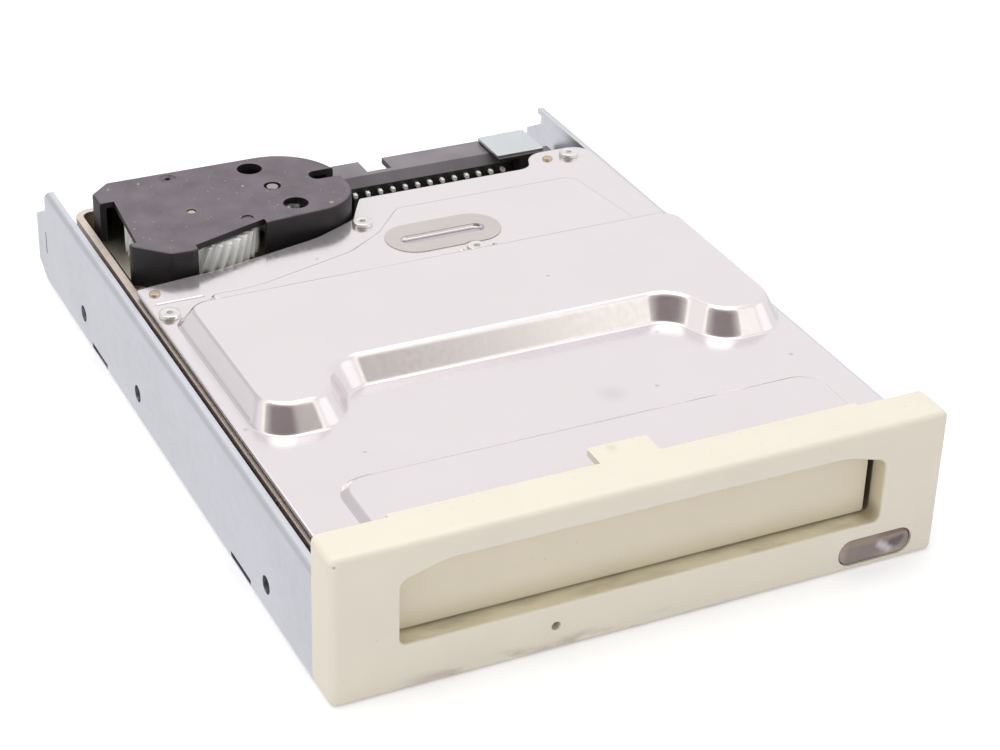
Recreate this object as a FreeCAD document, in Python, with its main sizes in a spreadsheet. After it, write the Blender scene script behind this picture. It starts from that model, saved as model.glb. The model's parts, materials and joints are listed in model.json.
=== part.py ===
import FreeCAD, Part
import math
import os
import re
import Sketcher

# Removable-cartridge disk drive for a 3.5-inch bay, built as its separate pieces.
# Millimetres. X runs to the right, Y from the bezel back to the connectors, Z up.
# Every Y in the sheet is measured from the bezel's front face. Each finished piece is
# shifted forward by half the depth, so the origin is under the middle of the drive.

DIMS = {
    # whole drive
    "depth": 143.0, "half_width": 50.8, "height": 25.4,
    # zinc-plated outer tray of folded sheet
    "bezel_depth": 7.0, "tray_sheet": 1.0, "tray_top": 19.0, "tray_bend": 1.2, "tray_hem": 1.8,
    "tray_floor_end": 137.0, "tray_foot_rise": 3.0, "tray_step_low": 12.3, "tray_step_high": 15.6,
    "side_hole_z": 5.2, "side_hole_radius": 1.5, "side_hole_first": 25.3, "side_hole_second": 85.3,
    "side_hole_third": 115.3, "lance_length": 8.6, "lance_low": 0.6, "lance_high": 1.7,
    "lance_front": 32.0, "lance_rear": 102.3, "slit_y": 137.3, "slit_width": 0.5, "slit_low": 6.5,
    "slit_high": 10.9,
    # moulded bezel
    "bezel_corner": 1.2, "bezel_edge": 1.0, "slot_half": 40.2, "slot_low": 8.0, "slot_shoulder": 19.0,
    "slot_high": 21.1, "slot_arch_half": 33.0, "slot_corner": 1.8, "slot_arch_radius": 14.0,
    "slot_sill_radius": 1.2, "slot_edge": 0.4, "pocket_near": 43.0, "pocket_far": 48.8,
    "pocket_low": 8.0, "pocket_high": 23.4, "bezel_skin": 2.4, "lip_half": 39.0, "lip_low": 23.8,
    "lip_high": 25.1, "lip_end": 8.2, "tab_half": 5.0, "tab_end": 12.6, "tab_low": 24.0,
    "poke_x": -15.4, "poke_z": 4.4, "poke_radius": 0.75,
    # slot flap on its pin
    "flap_half": 39.0, "flap_front": 3.2, "flap_thick": 1.4, "flap_low": 8.5, "flap_shoulder": 18.4,
    "flap_high": 20.5, "flap_arch_half": 32.5, "hinge_y": 5.4, "hinge_z": 19.5, "pin_radius": 0.7,
    "knuckle_radius": 1.2, "knuckle_bore": 0.76, "knuckle_width": 4.0, "knuckle_pitch": 27.0,
    "pin_half": 42.4,
    # eject button, its switch and lamp
    "button_x": 39.9, "button_z": 3.4, "button_half": 6.35, "button_tall": 2.1, "button_gap": 0.3,
    "button_front": 0.3, "button_back": 5.9, "flange_front": 4.7, "flange_half": 7.7,
    "dish_depth": 0.9, "dish_rim": 0.7, "stem_half": 1.6, "stem_tall": 0.8, "stem_end": 8.8,
    "front_board_low": 1.3, "front_board_high": 2.4, "front_board_left": 31.0,
    "front_board_right": 47.0, "front_board_near": 10.4, "front_board_far": 19.5,
    "switch_half": 3.0, "switch_front": 11.2, "switch_back": 14.8, "switch_top": 5.4,
    "plunger_front": 10.2, "plunger_half": 0.9, "lamp_x": 34.4, "lamp_radius": 1.0,
    # cast deck inside the tray
    "deck_half": 48.4, "deck_front": 8.5, "deck_low": 6.0, "deck_floor": 7.4, "deck_top": 19.2,
    "deck_wall": 1.3, "tub_end": 127.5, "tub_right": -27.6, "chamber_left_y": 96.2,
    "chamber_bend_x": -13.2, "chamber_bend_y": 98.6, "chamber_ear_x": -3.6, "chamber_ear_y": 103.0,
    "chamber_end": 109.2, "chamber_corner_x": -1.4, "rear_ear_left": 36.4, "rear_ear_end": 115.8,
    "ear_root_x": 34.6, "deck_corner": 3.0, "tub_wall_top": 11.9,
    "shock_x": 43.5, "shock_front": 30.0, "shock_rear": 98.0, "shock_radius": 3.2,
    "stud_radius": 1.6,
    # stamped top cover
    "cover_half": 48.0, "cover_front": 8.4, "cover_low": 19.8, "cover_top": 20.7, "cover_left_end": 92.6,
    "cover_mid_x": -33.0, "cover_mid_y": 94.2, "cover_bend_x": -13.0, "cover_bend_y": 98.8,
    "cover_ear_x": -4.6, "cover_ear_y": 103.0, "cover_end": 108.7, "cover_corner_x": -1.2,
    "cover_rear_end": 115.6, "cover_rear_left": 36.0, "cover_root_x": 34.0,
    "press_shift": 0.8, "boss_half": 46.45, "boss_rear": 80.6, "boss_lobe": 39.0, "boss_bay": 48.9,
    "lobe_inner": 32.8, "lobe_radius": 6.2, "bay_corner": 28.8, "bay_radius": 5.5,
    "boss_rear_radius": 3.4, "round_draft": 1.5, "boss_side_draft": 1.7, "boss_draft": 3.4,
    "boss_rear_draft": 3.0, "boss_top": 24.8,
    "terrace_top": 20.95, "terrace_left": -46.9, "terrace_front": 84.0, "terrace_strip": 85.7,
    "terrace_right": 41.9, "terrace_turn_x": -29.0, "terrace_bend_x": -10.0, "terrace_bend_y": 91.4,
    "terrace_knee_x": -3.0, "terrace_knee_y": 96.6, "terrace_rear_x": 3.0, "terrace_rear_y": 107.0,
    "terrace_end_x": 41.0, "terrace_end_y": 105.8,
    "pad_half": 41.4, "pad_end": 24.8, "pad_top": 21.7, "pad_corner": 5.0, "pad_draft": 0.9,
    "pad_near": 9.0, "cover_sheet": 0.9,
    "seal_x": 7.85, "seal_y": 91.55, "seal_half": 10.7, "seal_tall": 5.3, "seal_high": 21.1,
    "window_x": 7.6, "window_y": 91.2, "window_half": 7.9, "window_tall": 1.5, "seal_bite": 2.2,
    "screw_left_x": -45.7, "screw_left_y": 81.8, "screw_mid_x": -3.8, "screw_mid_y": 100.4,
    "screw_right_x": 43.0, "screw_right_y": 112.2, "screw_head_radius": 2.05, "screw_head_top": 21.8,
    "screw_shank": 1.0, "screw_foot": 15.0, "screw_socket": 0.75, "socket_depth": 0.7,
    "cap_radius": 1.7, "cap_top": 21.4, "cap_shank": 0.8, "cap_seat": 2.6, "boss_post_radius": 2.4,
    "dowel_left_x": -45.6, "dowel_left_y": 89.8, "dowel_right_x": 38.6, "dowel_right_y": 112.2,
    "dowel_radius": 0.95, "dowel_top": 21.1,
    "gasket_low": 19.2, "gasket_edge": 47.7, "gasket_width": 0.9, "gasket_left_end": 91.5,
    "gasket_right_end": 112.0,
    # load gearbox
    "gear_x": -32.2, "gear_y": 109.3, "axle_angle": 14.1, "gear_module": 0.6, "gear_teeth": 37,
    "pinion_teeth": 20, "helix_angle": 20.0, "gear_low": 18.0, "gear_high": 23.0, "backlash": 0.12,
    "gear_hub_radius": 3.2, "rack_teeth": 16, "rack_low": 12.4, "rack_high": 15.4,
    "axle_radius": 0.8, "running_gap": 0.05, "shaft_radius": 1.5,
    "plate_low": 16.2, "plate_high": 17.2, "plate_inset": 0.25, "hub_clearance": 0.7,
    "box_top": 24.6, "box_roof": 1.1, "box_wall": 1.2, "box_edge": 0.5,
    "box_left": -46.0, "box_left_front": 100.6, "box_nose_left": -40.6, "box_nose_front": 95.5,
    "box_nose_right": -36.8, "box_nose_right_y": 95.2, "box_bend_x": -21.3, "box_bend_y": 100.5,
    "box_right": -2.6, "box_right_front": 101.9, "box_front_radius": 8.5, "box_rear": 125.8,
    "box_rear_radius": 12.0, "box_cut_x": -42.4, "box_cut_y": 122.4,
    "side_window_front": 101.6, "side_window_rear": 118.0, "side_window_x": -44.7,
    "front_window_left": -35.8, "front_window_right": -21.6, "front_window_depth": 1.4,
    "sight_radius": 2.25, "sight_x": 1.35, "sight_y": 8.0,
    "sunk_x": -31.8, "sunk_y": 123.2, "sunk_radius": 1.5, "sunk_depth": 0.7, "thin_shank": 0.8,
    "sight_screw": 1.6, "sight_screw_tall": 0.9, "gate_x": -24.1, "gate_y": 103.2, "gate_radius": 1.1,
    "gate_depth": 0.25, "notch_x": -6.4, "notch_y": 114.6, "notch_half": 1.7, "notch_floor": 20.0,
    "notch_head": 1.4, "notch_head_top": 21.0, "ear_radius": 2.1,
    "motor_radius": 9.6, "motor_low": 5.6, "motor_cap_radius": 4.0, "motor_cap_drop": 0.6,
    "slide_left": -40.4, "slide_front": 88.0, "slide_rear": 125.0, "slide_foot_right": -34.6,
    "slide_foot_rear": 90.6, "slide_teeth": 11, "slide_first": 104.0,
    "rib_left": -42.0, "rib_gap": 0.4, "rib_ledge_right": -37.7, "rib_front": 94.0, "rib_top": 15.8,
    "post_radius": 1.8, "post_left_x": -44.0, "post_right_x": -30.4, "post_rear_y": 123.2,
    "post_front_y": 99.6, "axle_post": 2.5, "dowel_post": 1.9,
    # spindle
    "spindle_y": 42.0, "spindle_hole": 9.0, "stator_radius": 15.0, "stator_low": 4.4,
    "stator_core": 5.0, "stator_core_top": 6.4, "hub_radius": 8.0, "hub_low": 6.6, "hub_high": 7.4,
    "spindle_shaft": 1.5, "spindle_shaft_low": 4.8, "clutch_inner": 4.2, "clutch_outer": 7.0,
    "clutch_top": 7.9, "nose_radius": 2.4,
    # swinging head arm and its magnets
    "pivot_x": 11.0, "pivot_y": 84.5, "arm_yaw": 10.0, "pivot_radius": 3.0, "pivot_top": 19.6,
    "pivot_seat": 9.2, "pivot_seat_radius": 4.2, "arm_hub_radius": 5.6, "arm_hub_low": 9.5,
    "arm_hub_high": 16.0, "arm_low": 12.2, "arm_high": 13.4, "arm_reach": 21.0, "arm_root": 4.4,
    "arm_tip": 2.2, "tip_low": 11.8, "tip_high": 13.8, "tip_length": 4.0, "spring_end": 33.5,
    "spring_sheet": 0.25, "spring_half": 1.4, "slider_length": 1.6, "slider_half": 0.8,
    "slider_tall": 0.45, "coil_inner": 11.5, "coil_outer": 21.5, "coil_angle": 30.0,
    "coil_width": 2.6, "coil_low": 12.2, "coil_high": 13.6, "yoke_inner": 10.5, "yoke_outer": 23.0,
    "yoke_start": -15.0, "yoke_angle": 88.0, "yoke_low": 8.6, "yoke_sheet": 1.6, "magnet_start": -4.0,
    "magnet_angle": 66.0, "magnet_inner": 11.5, "magnet_outer": 21.5, "magnet_thick": 1.4,
    "yoke_post": 1.2, "yoke_post_reach": 21.6, "yoke_post_turn": 4.0, "yoke_upper": 15.6,
    "stop_reach": 17.5, "stop_first": -13.0, "stop_last": 72.0, "stop_radius": 1.0,
    "ramp_left": -28.0, "ramp_right": -24.4, "ramp_front": 76.6, "ramp_back": 82.0, "ramp_top": 15.2,
    # cartridge rails
    "rail_inner": 40.9, "rail_wall": 1.5, "rail_outer": 46.8, "rail_foot": 8.6, "rail_top": 17.4,
    "rail_ledge": 38.5, "rail_ledge_top": 8.0, "rail_front": 10.0, "rail_rear": 76.0,
    # circuit board and connectors
    "board_low": 3.0, "board_high": 4.6, "board_half": 38.0, "board_front": 62.0, "board_wide_y": 117.5,
    "board_right": 48.6, "board_rear": 131.5, "board_boss_x": 33.0, "board_boss_front": 66.0,
    "board_boss_rear": 104.0, "board_boss_radius": 2.2, "board_screw_head": 1.9, "board_screw": 1.0,
    "board_screw_low": 2.0, "chip_low": 1.6,
    "header_x": 11.2, "header_half": 26.4, "header_front": 124.8, "header_rear": 132.4,
    "header_top": 16.6, "header_step": 126.6, "header_front_top": 15.0, "socket_half": 25.2,
    "socket_low": 9.0, "socket_high": 15.4, "socket_bottom": 127.2, "key_half": 2.4, "key_front": 127.8,
    "contact_pitch": 2.54, "contact_columns": 20, "contact_half": 0.32, "contact_lower": 11.33,
    "contact_end": 130.0, "leg_front": 123.7,
    "power_left": 37.9, "power_right": 48.9, "power_front": 122.0, "power_top": 17.3,
    "power_socket_left": 38.7, "power_socket_right": 48.1, "power_socket_low": 6.2,
    "power_socket_high": 12.0, "power_socket_bottom": 124.4, "power_pin_z": 9.1, "power_pin_end": 127.4,
    "power_pin_pitch": 2.54, "power_pin_count": 4, "power_pin_half": 0.5, "shelf_left": 33.4,
    "shelf_low": 16.7, "shelf_rear": 131.0, "clip_left": 33.2, "clip_right": 42.9, "clip_front": 122.3,
    "clip_rear": 131.2, "clip_high": 17.9,
}

V = FreeCAD.Vector
UP = V(0, 0, 1)
doc = FreeCAD.newDocument("removable_disk_drive")
sheet = doc.addObject("Spreadsheet::Sheet", "dims")
for row, (alias, size) in enumerate(DIMS.items(), 1):
    sheet.set(f"A{row}", alias)
    sheet.set(f"B{row}", str(size))
    sheet.setAlias(f"B{row}", alias)
doc.recompute()

pieces = []


# Sheet expressions

def expr(text):
    """Turn words that are sheet aliases into references to their cells."""
    return re.sub(r"[a-z_]+", lambda word: "dims." + word[0] if word[0] in DIMS else word[0], str(text))


def num(text):
    """The present value of an expression of sheet aliases."""
    return float(sheet.evalExpression(expr(text)))


def bind(thing, **values):
    """Bind properties to expressions; x, y and z stand for the placement's base."""
    for name, text in values.items():
        path = f"Placement.Base.{name}" if name in ("x", "y", "z") else name
        thing.setExpression(path, expr(text))
    return thing


# Sketch-based bodies

def new_body(label):
    body = doc.addObject("PartDesign::Body", label)
    body.Label = label
    bind(body, y="-depth / 2")
    pieces.append(body)
    return body


def sketch(body, role, offset):
    """A sketch on one of the body's own origin planes, moved along that plane's normal."""
    flat = body.newObject("Sketcher::SketchObject", f"{body.Name}_sketch")
    plane = next(feature for feature in body.Origin.OriginFeatures if feature.Role == role)
    flat.AttachmentSupport = (plane, [""])
    flat.MapMode = "FlatFace"
    flat.setExpression("AttachmentOffset.Base.z", expr(offset))
    return flat


def level(body, z):
    return sketch(body, "XY_Plane", z)


def upright(body, y):
    """A sketch in X and Z at one depth; its normal points to the front."""
    return sketch(body, "XZ_Plane", f"-({y})")


def sideways(body, x):
    """A sketch in Y and Z at one X; its normal points to the right."""
    return sketch(body, "YZ_Plane", x)


def pin_down(flat, element, vertex, spot, texts):
    """Hold one sketch point at a pair of expressions measured from the sketch's origin."""
    for kind, value, text in (("DistanceX", spot.x, texts[0]), ("DistanceY", spot.y, texts[1])):
        number = flat.addConstraint(Sketcher.Constraint(kind, -1, 1, element, vertex, value))
        flat.setExpression(f"Constraints[{number}]", expr(text))


def round_corner(flat, before, after, spot, corner, a, b):
    """Join two lines by a tangent arc whose radius is an expression."""
    radius = num(corner[2])
    half = a.getAngle(b) / 2
    reach = radius / math.tan(half)
    centre = spot + (a + b).normalize() * (radius / math.sin(half))
    left_turn = b.cross(a).z > 0
    ends = (spot + a * reach, spot + b * reach)
    first, last = ends if left_turn else ends[::-1]
    start, stop = (math.atan2(end.y - centre.y, end.x - centre.x) for end in (first, last))
    arc = flat.addGeometry(Part.ArcOfCircle(Part.Circle(centre, UP, radius), start, stop), False)
    arrive, leave = (1, 2) if left_turn else (2, 1)
    flat.addConstraint(Sketcher.Constraint("Tangent", before, 2, arc, arrive))
    flat.addConstraint(Sketcher.Constraint("Tangent", arc, leave, after, 1))
    number = flat.addConstraint(Sketcher.Constraint("Radius", arc, radius))
    flat.setExpression(f"Constraints[{number}]", expr(corner[2]))
    point = flat.addGeometry(Part.Point(spot), True)
    flat.addConstraint(Sketcher.Constraint("PointOnObject", point, 1, before))
    flat.addConstraint(Sketcher.Constraint("PointOnObject", point, 1, after))
    pin_down(flat, point, 1, spot, corner)


def outline(flat, corners):
    """A closed outline; each corner is (x, y) or (x, y, radius), all of them expressions."""
    corners = [corner if len(corner) == 3 else (*corner, 0) for corner in corners]
    spots = [V(num(x), num(y), 0) for x, y, radius in corners]
    count = len(spots)
    toward = [(spots[(i + 1) % count] - spots[i]).normalize() for i in range(count)]
    trims = []
    for i, corner in enumerate(corners):
        half = (-toward[i - 1]).getAngle(toward[i]) / 2
        trims.append(num(corner[2]) / math.tan(half))
    lines = []
    for i in range(count):
        start = spots[i] + toward[i] * trims[i]
        stop = spots[(i + 1) % count] - toward[i] * trims[(i + 1) % count]
        lines.append(flat.addGeometry(Part.LineSegment(start, stop), False))
    for i, corner in enumerate(corners):
        before, after = lines[i - 1], lines[i]
        if trims[i]:
            round_corner(flat, before, after, spots[i], corner, -toward[i - 1], toward[i])
        else:
            flat.addConstraint(Sketcher.Constraint("Coincident", before, 2, after, 1))
            pin_down(flat, after, 1, spots[i], corner)
    return flat


def mirrored(half):
    """A full outline from its right half, listed from the bottom up."""
    left = [(f"-({corner[0]})", *corner[1:]) for corner in reversed(half)]
    return list(half) + left


def rect(flat, left, right, low, high, radius=0):
    corners = ((left, low), (right, low), (right, high), (left, high))
    return outline(flat, [(*corner, radius) for corner in corners])


def circle(flat, x, y, radius):
    spot = V(num(x), num(y), 0)
    ring = flat.addGeometry(Part.Circle(spot, UP, num(radius)), False)
    number = flat.addConstraint(Sketcher.Constraint("Radius", ring, num(radius)))
    flat.setExpression(f"Constraints[{number}]", expr(radius))
    pin_down(flat, ring, 3, spot, (x, y))
    return flat


def pad(body, flat, length, back=False):
    """Add the sketch's outline to the body, along its normal or back from it."""
    feature = body.newObject("PartDesign::Pad", f"{body.Name}_pad")
    feature.Profile = flat
    feature.Reversed = back
    bind(feature, Length=length)
    doc.recompute()
    return feature


def pocket(body, flat, length, along=False):
    """Cut the sketch's outline out of the body, against its normal or along it."""
    before = body.Shape.Volume
    feature = body.newObject("PartDesign::Pocket", f"{body.Name}_pocket")
    feature.Profile = flat
    feature.Reversed = along
    bind(feature, Length=length)
    doc.recompute()
    if body.Shape.Volume > before - 1e-6:
        raise RuntimeError(f"a pocket of {body.Label} cuts nothing")
    return feature


def loft(body, kind, flats):
    feature = body.newObject(f"PartDesign::{kind}", f"{body.Name}_loft")
    feature.Profile = flats[0]
    feature.Sections = flats[1:]
    feature.Ruled = True
    doc.recompute()
    return feature


def fillet(body, radius, chosen, kind="Fillet"):
    """Round every edge of the body for which chosen(edge) holds; Y is from the bezel's face."""
    tip = body.Tip
    names = [f"Edge{i}" for i, edge in enumerate(tip.Shape.Edges, 1) if chosen(edge)]
    feature = body.newObject(f"PartDesign::{kind}", f"{body.Name}_{kind.lower()}")
    feature.Base = (tip, names)
    bind(feature, **{"Radius" if kind == "Fillet" else "Size": radius})
    doc.recompute()
    return feature


def within(edge, x=None, y=None, z=None):
    """True where the whole edge lies inside the given ranges, a little widened."""
    box = edge.BoundBox
    spans = ((x, box.XMin, box.XMax), (y, box.YMin, box.YMax), (z, box.ZMin, box.ZMax))
    slack = 0.02
    return all(limits is None or (low > limits[0] - slack and high < limits[1] + slack)
               for limits, low, high in spans)


# Primitive solids

def block(left, right, front, rear, low, high):
    box = doc.addObject("Part::Box", "block")
    bind(box, Length=f"({right}) - ({left})", Width=f"({rear}) - ({front})", Height=f"({high}) - ({low})")
    return bind(box, x=left, y=front, z=low)


def rod(x, y, radius, low, high):
    """An upright cylinder."""
    round_bar = doc.addObject("Part::Cylinder", "rod")
    bind(round_bar, Radius=radius, Height=f"({high}) - ({low})")
    return bind(round_bar, x=x, y=y, z=low)


def cone(x, y, low_radius, high_radius, low, high):
    taper = doc.addObject("Part::Cone", "cone")
    bind(taper, Radius1=low_radius, Radius2=high_radius, Height=f"({high}) - ({low})")
    return bind(taper, x=x, y=y, z=low)


def sector(inner, outer, start, angle, low, high):
    """An upright slice of a ring about the origin, from one bearing over an angle."""
    slice_ = rod(0, 0, outer, low, high)
    bind(slice_, Angle=angle)
    slice_.Placement.Rotation = FreeCAD.Rotation(UP, num(start))
    return cut(slice_, rod(0, 0, inner, low, high))


def fuse(*shapes):
    joined = doc.addObject("Part::MultiFuse", "joined")
    joined.Shapes = list(shapes)
    return joined


def cut(base, *tools):
    result = doc.addObject("Part::Cut", "cut")
    result.Base = base
    result.Tool = tools[0] if len(tools) == 1 else fuse(*tools)
    return result


def piece(label, *shapes, x="0", y="0", yaw="0"):
    """A finished node made of one or more separate solids, standing at (x, y) and turned by yaw."""
    group = doc.addObject("Part::Compound", label)
    group.Label = label
    group.Links = list(shapes)
    group.Placement.Rotation = FreeCAD.Rotation(UP, num(yaw))
    bind(group, x=x, y=f"{y} - depth / 2")
    pieces.append(group)
    return group


# Toothed wheels

def tooth_half_angle(teeth, radius):
    """Half the angle that one involute tooth fills at a radius, thinned by the backlash."""
    pitch_radius = num("gear_module") * teeth / 2
    pressure = math.radians(20)
    base_radius = pitch_radius * math.cos(pressure)

    def involute(angle):
        return math.tan(angle) - angle

    slant = math.acos(min(1.0, base_radius / radius))
    thinning = num("backlash") / 2 / pitch_radius
    return math.pi / (2 * teeth) - thinning + involute(pressure) - involute(slant)


def gear_wire(teeth, turn, z):
    """The outline of a toothed wheel whose first tooth points along the bearing turn (radians)."""
    module = num("gear_module")
    pitch_radius = module * teeth / 2
    radii = (pitch_radius - 1.2 * module, pitch_radius, pitch_radius + module)
    flank = [(radius, tooth_half_angle(teeth, radius)) for radius in radii]
    rising = [(radius, -half) for radius, half in flank]
    falling = [(radius, half) for radius, half in reversed(flank)]
    points = []
    for tooth in range(teeth):
        middle = turn + 2 * math.pi * tooth / teeth
        for radius, half in rising + falling:
            points.append(V(radius * math.cos(middle + half), radius * math.sin(middle + half), z))
    return Part.makePolygon(points + points[:1])


def toothed_wheel(teeth, turn, twist, low, high):
    """A toothed wheel about the origin; twist is how far its teeth lean round over its face."""
    wires = [gear_wire(teeth, turn, num(low)), gear_wire(teeth, turn + twist, num(high))]
    wheel = doc.addObject("Part::Feature", "toothed_wheel")
    wheel.Shape = Part.makeLoft(wires, True, True)
    return wheel


# Outlines that several pieces share

GEARBOX_OUTLINE = [
    ("box_left", "box_left_front", 1.2), ("box_nose_left", "box_nose_front", 1.0),
    ("box_nose_right", "box_nose_right_y", 1.0), ("box_bend_x", "box_bend_y", 12.0),
    ("box_right", "box_right_front", "box_front_radius"), ("box_right", "box_rear", "box_rear_radius"),
    ("box_cut_x", "box_rear", 1.0), ("box_left", "box_cut_y", 1.0),
]


def shrunk(corners, inset):
    """An outline moved inwards by an inset, its corners worked out along their bisectors."""
    spots = [V(num(x), num(y), 0) for x, y, radius in corners]
    result = []
    for i, (x, y, radius) in enumerate(corners):
        a = (spots[i - 1] - spots[i]).normalize()
        b = (spots[(i + 1) % len(spots)] - spots[i]).normalize()
        step = (a + b).normalize() * (1 / math.sin(a.getAngle(b) / 2))
        side = 1 if b.cross(a).z > 0 else -1
        small = max(num(radius) - side * num(inset), 0.2)
        shift_x = f"{x} + ({inset}) * {side * step.x:.6f}"
        shift_y = f"{y} + ({inset}) * {side * step.y:.6f}"
        result.append((shift_x, shift_y, f"{small:.4f}"))
    return result


def chassis_tray():
    """Folded sheet channel with a hem along each wall, open at both ends."""
    body = new_body("chassis_tray")
    half = [
        ("half_width", 0, 1), ("half_width", "tray_top", "tray_bend"),
        ("half_width - tray_hem", "tray_top"), ("half_width - tray_hem", "tray_top - tray_sheet"),
        ("half_width - tray_sheet", "tray_top - tray_sheet"), ("half_width - tray_sheet", "tray_sheet"),
    ]
    channel = outline(upright(body, "depth"), mirrored(half))
    pad(body, channel, "depth - bezel_depth")
    across = "3 * half_width"
    foot = [
        ("tray_floor_end", 0), ("tray_floor_end", -1), ("depth + 1", -1), ("depth + 1", "tray_foot_rise"),
        ("depth", "tray_foot_rise"),
    ]
    pocket(body, outline(sideways(body, across + " / 2"), foot), across)
    head = [
        ("depth", "tray_step_low"), ("depth + 1", "tray_step_low"), ("depth + 1", "height"),
        ("tray_floor_end", "height"), ("tray_floor_end", "tray_step_high"),
    ]
    pocket(body, outline(sideways(body, across + " / 2"), head), across)
    holes = sideways(body, across + " / 2")
    for y in ("side_hole_first", "side_hole_second", "side_hole_third"):
        circle(holes, y, "side_hole_z", "side_hole_radius")
    pocket(body, holes, across)
    slit = rect(sideways(body, across + " / 2"), "slit_y", "slit_y + slit_width", "slit_low", "slit_high")
    pocket(body, slit, across)
    for face in ("half_width", "tray_sheet - half_width"):
        lances = sideways(body, face)
        for y in ("lance_front", "lance_rear"):
            rect(lances, y, f"{y} + lance_length", "lance_low", "lance_high")
        pocket(body, lances, "tray_sheet")


def bezel():
    """Moulded front with the arched cartridge slot, the button's seat and the snap tab."""
    body = new_body("bezel")
    front = rect(upright(body, "bezel_depth"), "-half_width", "half_width", 0, "height", "bezel_corner")
    pad(body, front, "bezel_depth")
    fillet(body, "bezel_edge", lambda edge: within(edge, y=(0, 0)))
    slot = [
        ("slot_half", "slot_low", "slot_sill_radius"), ("slot_half", "slot_shoulder", "slot_corner"),
        ("slot_arch_half", "slot_high", "slot_arch_radius"),
    ]
    pocket(body, outline(upright(body, -1), mirrored(slot)), "bezel_depth + 2")
    inside = num("slot_half")
    fillet(body, "slot_edge", lambda edge: within(edge, x=(-inside, inside), y=(0, 0)))
    for left, right in (("pocket_near", "pocket_far"), ("-pocket_far", "-pocket_near")):
        hollow = rect(upright(body, "bezel_skin"), left, right, "pocket_low", "pocket_high", 0.8)
        pocket(body, hollow, "bezel_depth - bezel_skin")
    lip = rect(level(body, "lip_low"), "-lip_half", "lip_half", "bezel_depth - 1", "lip_end")
    pad(body, lip, "lip_high - lip_low")
    tab = rect(level(body, "tab_low"), "-tab_half", "tab_half", "bezel_depth - 1", "tab_end", 0.4)
    pad(body, tab, "lip_high - tab_low")
    pocket(body, circle(upright(body, -1), "poke_x", "poke_z", "poke_radius"), "bezel_depth + 2")
    half, tall = "(button_half + button_gap)", "(button_tall + button_gap)"
    seat = rect(upright(body, -1), f"button_x - {half}", f"button_x + {half}", f"button_z - {tall}",
                f"button_z + {tall}", f"0.98 * {tall}")
    pocket(body, seat, "bezel_depth + 2")
    flange = rect(upright(body, "flange_front - button_gap"), "button_x - flange_half - button_gap",
                  "button_x + flange_half + button_gap", f"button_z - {tall}", f"button_z + {tall}", 0.5)
    pocket(body, flange, "bezel_depth")
    bore = circle(sideways(body, "pin_half"), "hinge_y", "hinge_z", "pin_radius")
    pocket(body, bore, "2 * pin_half")


def flap():
    """Hinged slot door with three knuckles on its back."""
    body = new_body("flap_door")
    plate = [
        ("flap_half", "flap_low", 0.5), ("flap_half", "flap_shoulder", 1.5),
        ("flap_arch_half", "flap_high", "slot_arch_radius"),
    ]
    pad(body, outline(upright(body, "flap_front + flap_thick"), mirrored(plate)), "flap_thick")
    for step in (-1, 0, 1):
        ring = sideways(body, f"{step} * knuckle_pitch - knuckle_width / 2")
        circle(ring, "hinge_y", "hinge_z", "knuckle_radius")
        pad(body, ring, "knuckle_width")
    bore = circle(sideways(body, "flap_half"), "hinge_y", "hinge_z", "knuckle_bore")
    pocket(body, bore, "2 * flap_half")
    pin = doc.addObject("Part::Cylinder", "hinge_rod")
    pin.Placement.Rotation = FreeCAD.Rotation(V(0, 1, 0), 90)
    bind(pin, Radius="pin_radius", Height="2 * pin_half", x="-pin_half", y="hinge_y", z="hinge_z")
    piece("flap_pin", pin)


def eject_button():
    """Dished translucent button with a retaining flange and a stem to the switch."""
    body = new_body("eject_button")
    face = rect(upright(body, "button_back"), "button_x - button_half", "button_x + button_half",
                "button_z - button_tall", "button_z + button_tall", "0.98 * button_tall")
    pad(body, face, "button_back - button_front")
    flange = rect(upright(body, "button_back"), "button_x - flange_half", "button_x + flange_half",
                  "button_z - button_tall", "button_z + button_tall", 0.4)
    pad(body, flange, "button_back - flange_front")
    stem = rect(upright(body, "stem_end"), "button_x - stem_half", "button_x + stem_half",
                "button_z - stem_tall", "button_z + stem_tall")
    pad(body, stem, "stem_end - button_back")
    dish = rect(upright(body, -1), "button_x - button_half + dish_rim", "button_x + button_half - dish_rim",
                "button_z - button_tall + dish_rim", "button_z + button_tall - dish_rim",
                "0.98 * (button_tall - dish_rim)")
    pocket(body, dish, "1 + button_front + dish_depth")


def front_electronics():
    """Small board behind the bezel with the eject switch and the lamp that lights the button."""
    board = block("front_board_left", "front_board_right", "front_board_near", "front_board_far",
                  "front_board_low", "front_board_high")
    piece("front_board", board)
    case = block("button_x - switch_half", "button_x + switch_half", "switch_front", "switch_back",
                 "front_board_high", "switch_top")
    plunger = block("button_x - plunger_half", "button_x + plunger_half", "plunger_front", "switch_front",
                    "button_z - stem_tall", "button_z + stem_tall")
    piece("eject_switch", fuse(case, plunger))
    base = block("lamp_x - lamp_radius", "lamp_x + lamp_radius", "switch_front", "switch_back",
                 "front_board_high", "button_z + lamp_radius")
    lens = doc.addObject("Part::Sphere", "lens")
    bind(lens, Radius="lamp_radius", x="lamp_x", y="switch_front", z="button_z + lamp_radius / 4")
    trim = block("lamp_x - 2", "lamp_x + 2", "switch_front - 2", "switch_back", 0, "front_board_high")
    piece("status_lamp", cut(fuse(base, lens), trim))


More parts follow.
